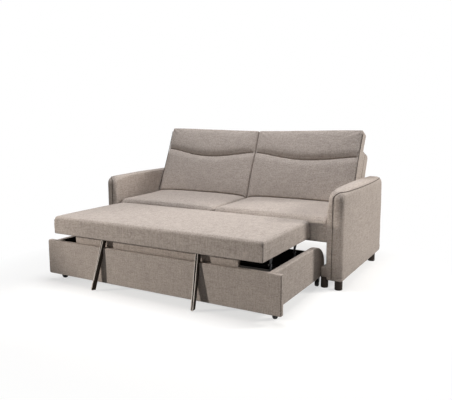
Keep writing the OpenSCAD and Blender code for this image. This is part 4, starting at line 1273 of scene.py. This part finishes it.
# Middle of each strap across the sofa at its top, at the drawer's edge, halfway and at its
# foot; its turns about the vertical above and below that edge in degrees; half of its opening
# at the same heights in millimetres
STRAPS = {
    "left": {"middle": (-0.362, -0.374, -0.392, -0.415), "turn": (-16, -36), "half": (8, 4.5, 5, 6)},
    "right": {"middle": (0.333, 0.332, 0.325, 0.327), "turn": (-14, 6), "half": (9, 5, 6.5, 6)},
}


def make_strap(name):
    """Loop of strap whose broad faces are darkened as painted shade and whose edges are lightened as
    painted light; it hangs from under the mattress over the drawer front.
    """
    given = STRAPS[name]
    heights = [STRAP_TOP, DRAWER_EDGE, (DRAWER_EDGE + STRAP_FOOT) / 2, STRAP_FOOT]
    standing = [DRAWER_FACE + out * MM for out in STRAP_STANDING]
    z = np.array(between(STRAP_TOP, STRAP_FOOT, 7 * MM))
    middle, depth, half = [smoothed(np.interp(-z, [-h for h in heights], values))
                           for values in (given["middle"], standing, given["half"])]
    half = half * MM
    lower = smooth_step(-z, -DRAWER_EDGE - 30 * MM, -DRAWER_EDGE + 60 * MM)
    turn = np.radians(given["turn"][0] + (given["turn"][1] - given["turn"][0]) * lower)
    flat = np.zeros(len(z))
    centre = np.column_stack([middle, depth, z])
    apart = np.column_stack([np.cos(turn), np.sin(turn), flat])
    broad = np.column_stack([-np.sin(turn), np.cos(turn), flat])
    loop = [math.pi * k / 10 for k in range(1, 10)]
    foot = [centre[-1] - half[-1] * (math.cos(a) * apart[-1] + math.sin(a) * np.array([0, 0, 1]))
            for a in loop]
    path = np.concatenate([centre - apart * half[:, None], foot, (centre + apart * half[:, None])[::-1]])
    wide = np.concatenate([broad, [broad[-1]] * len(foot), broad[::-1]])
    across_ply = np.cross(np.gradient(path, axis=0), wide)
    across_ply = across_ply / np.linalg.norm(across_ply, axis=1, keepdims=True)
    w, t, lip = STRAP_W / 2, STRAP_T / 2, 1.0 * MM
    section = [(-w, -0.6 * t), (lip - w, -t), (w - lip, -t), (w, -0.6 * t),
               (w, 0.6 * t), (w - lip, t), (lip - w, t), (-w, 0.6 * t)]
    rings = [[p + n * a + q * b for a, b in section] for p, n, q in zip(path, wide, across_ply)]
    strap = loft(f"{name}_strap", rings, FINISHES["strap_cloth"])
    strap.data.materials.append(STRAP_EDGE_PAINTED_LIGHT)
    # the broad faces keep the painted-shade strap cloth, all other faces take the painted-light edge cloth
    flats = (1, 5)
    for index, face in enumerate(strap.data.polygons):
        if index % len(section) not in flats:
            face.material_index = 1
    dress(strap, "platform", "strap_cloth", f"{name}_pull_strap")
    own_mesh(strap)


# Screws

def screw_heads(name, places, axis, body):
    """Low round screw heads with a cross recess, facing along axis."""
    points, faces = [], []
    n = Vector(axis).normalized()
    u = n.orthogonal().normalized()
    v = n.cross(u)
    profile = [(3.6, 0.0), (3.6, 0.5), (3.0, 1.3), (2.0, 1.75), (1.15, 1.9), (0.75, 1.3)]
    sides = 16
    for place in places:
        start = len(points)
        for radius, height in profile:
            for k in range(sides):
                a = 2 * math.pi * k / sides
                recess = 1.0 if radius > 1.3 or k % 4 else 1.35
                p = Vector(place) + (u * math.cos(a) + v * math.sin(a)) * radius * recess * MM
                points.append(p + n * height * MM)
        for i in range(len(profile) - 1):
            for k in range(sides):
                a, b = start + i * sides + k, start + i * sides + (k + 1) % sides
                faces.append((a, b, b + sides, a + sides))
        faces.append(tuple(range(start, start + sides)))
        last = start + (len(profile) - 1) * sides
        faces.append(tuple(range(last, last + sides)))
    heads = piece_from(name, points, faces, FINISHES["pin_steel"])
    dress(heads, body, "pin_steel")


def make_screws():
    base_low, base_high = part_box("right_lift_base")
    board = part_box("drawer_bottom")[1].z + 4 * MM
    x = base_high.x - 16 * MM
    for name, sign in SIDES.items():
        ys = between(base_low.y + 30 * MM, base_high.y - 30 * MM, 95 * MM)
        screw_heads(f"{name}_base_screws", [(sign * x, y, board) for y in ys], (0, 0, 1), "drawer")


def refinish_frame():
    """Gives each solid that stays in view the finish of its slot."""
    for part in frame["record"]["subparts"]:
        node = frame["nodes"][part["node"]]
        for slot in node.material_slots:
            slot.material = FINISHES[part["material_slot"]]


make_camera()
make_lights()
make_world()
make_floor()
refinish_frame()
seat_surfaces = []
for side_name, side_sign in SIDES.items():
    make_arm(side_name, side_sign)
    seat = make_seat_cushion(side_name, side_sign)
    seat_surfaces.append(surface_of(seat))
for side_name, side_sign in SIDES.items():
    make_back_cushion(side_name, side_sign, seat_surfaces)
    make_strap(side_name)
make_back_body()
make_platform_pad()
make_panels()
make_screws()
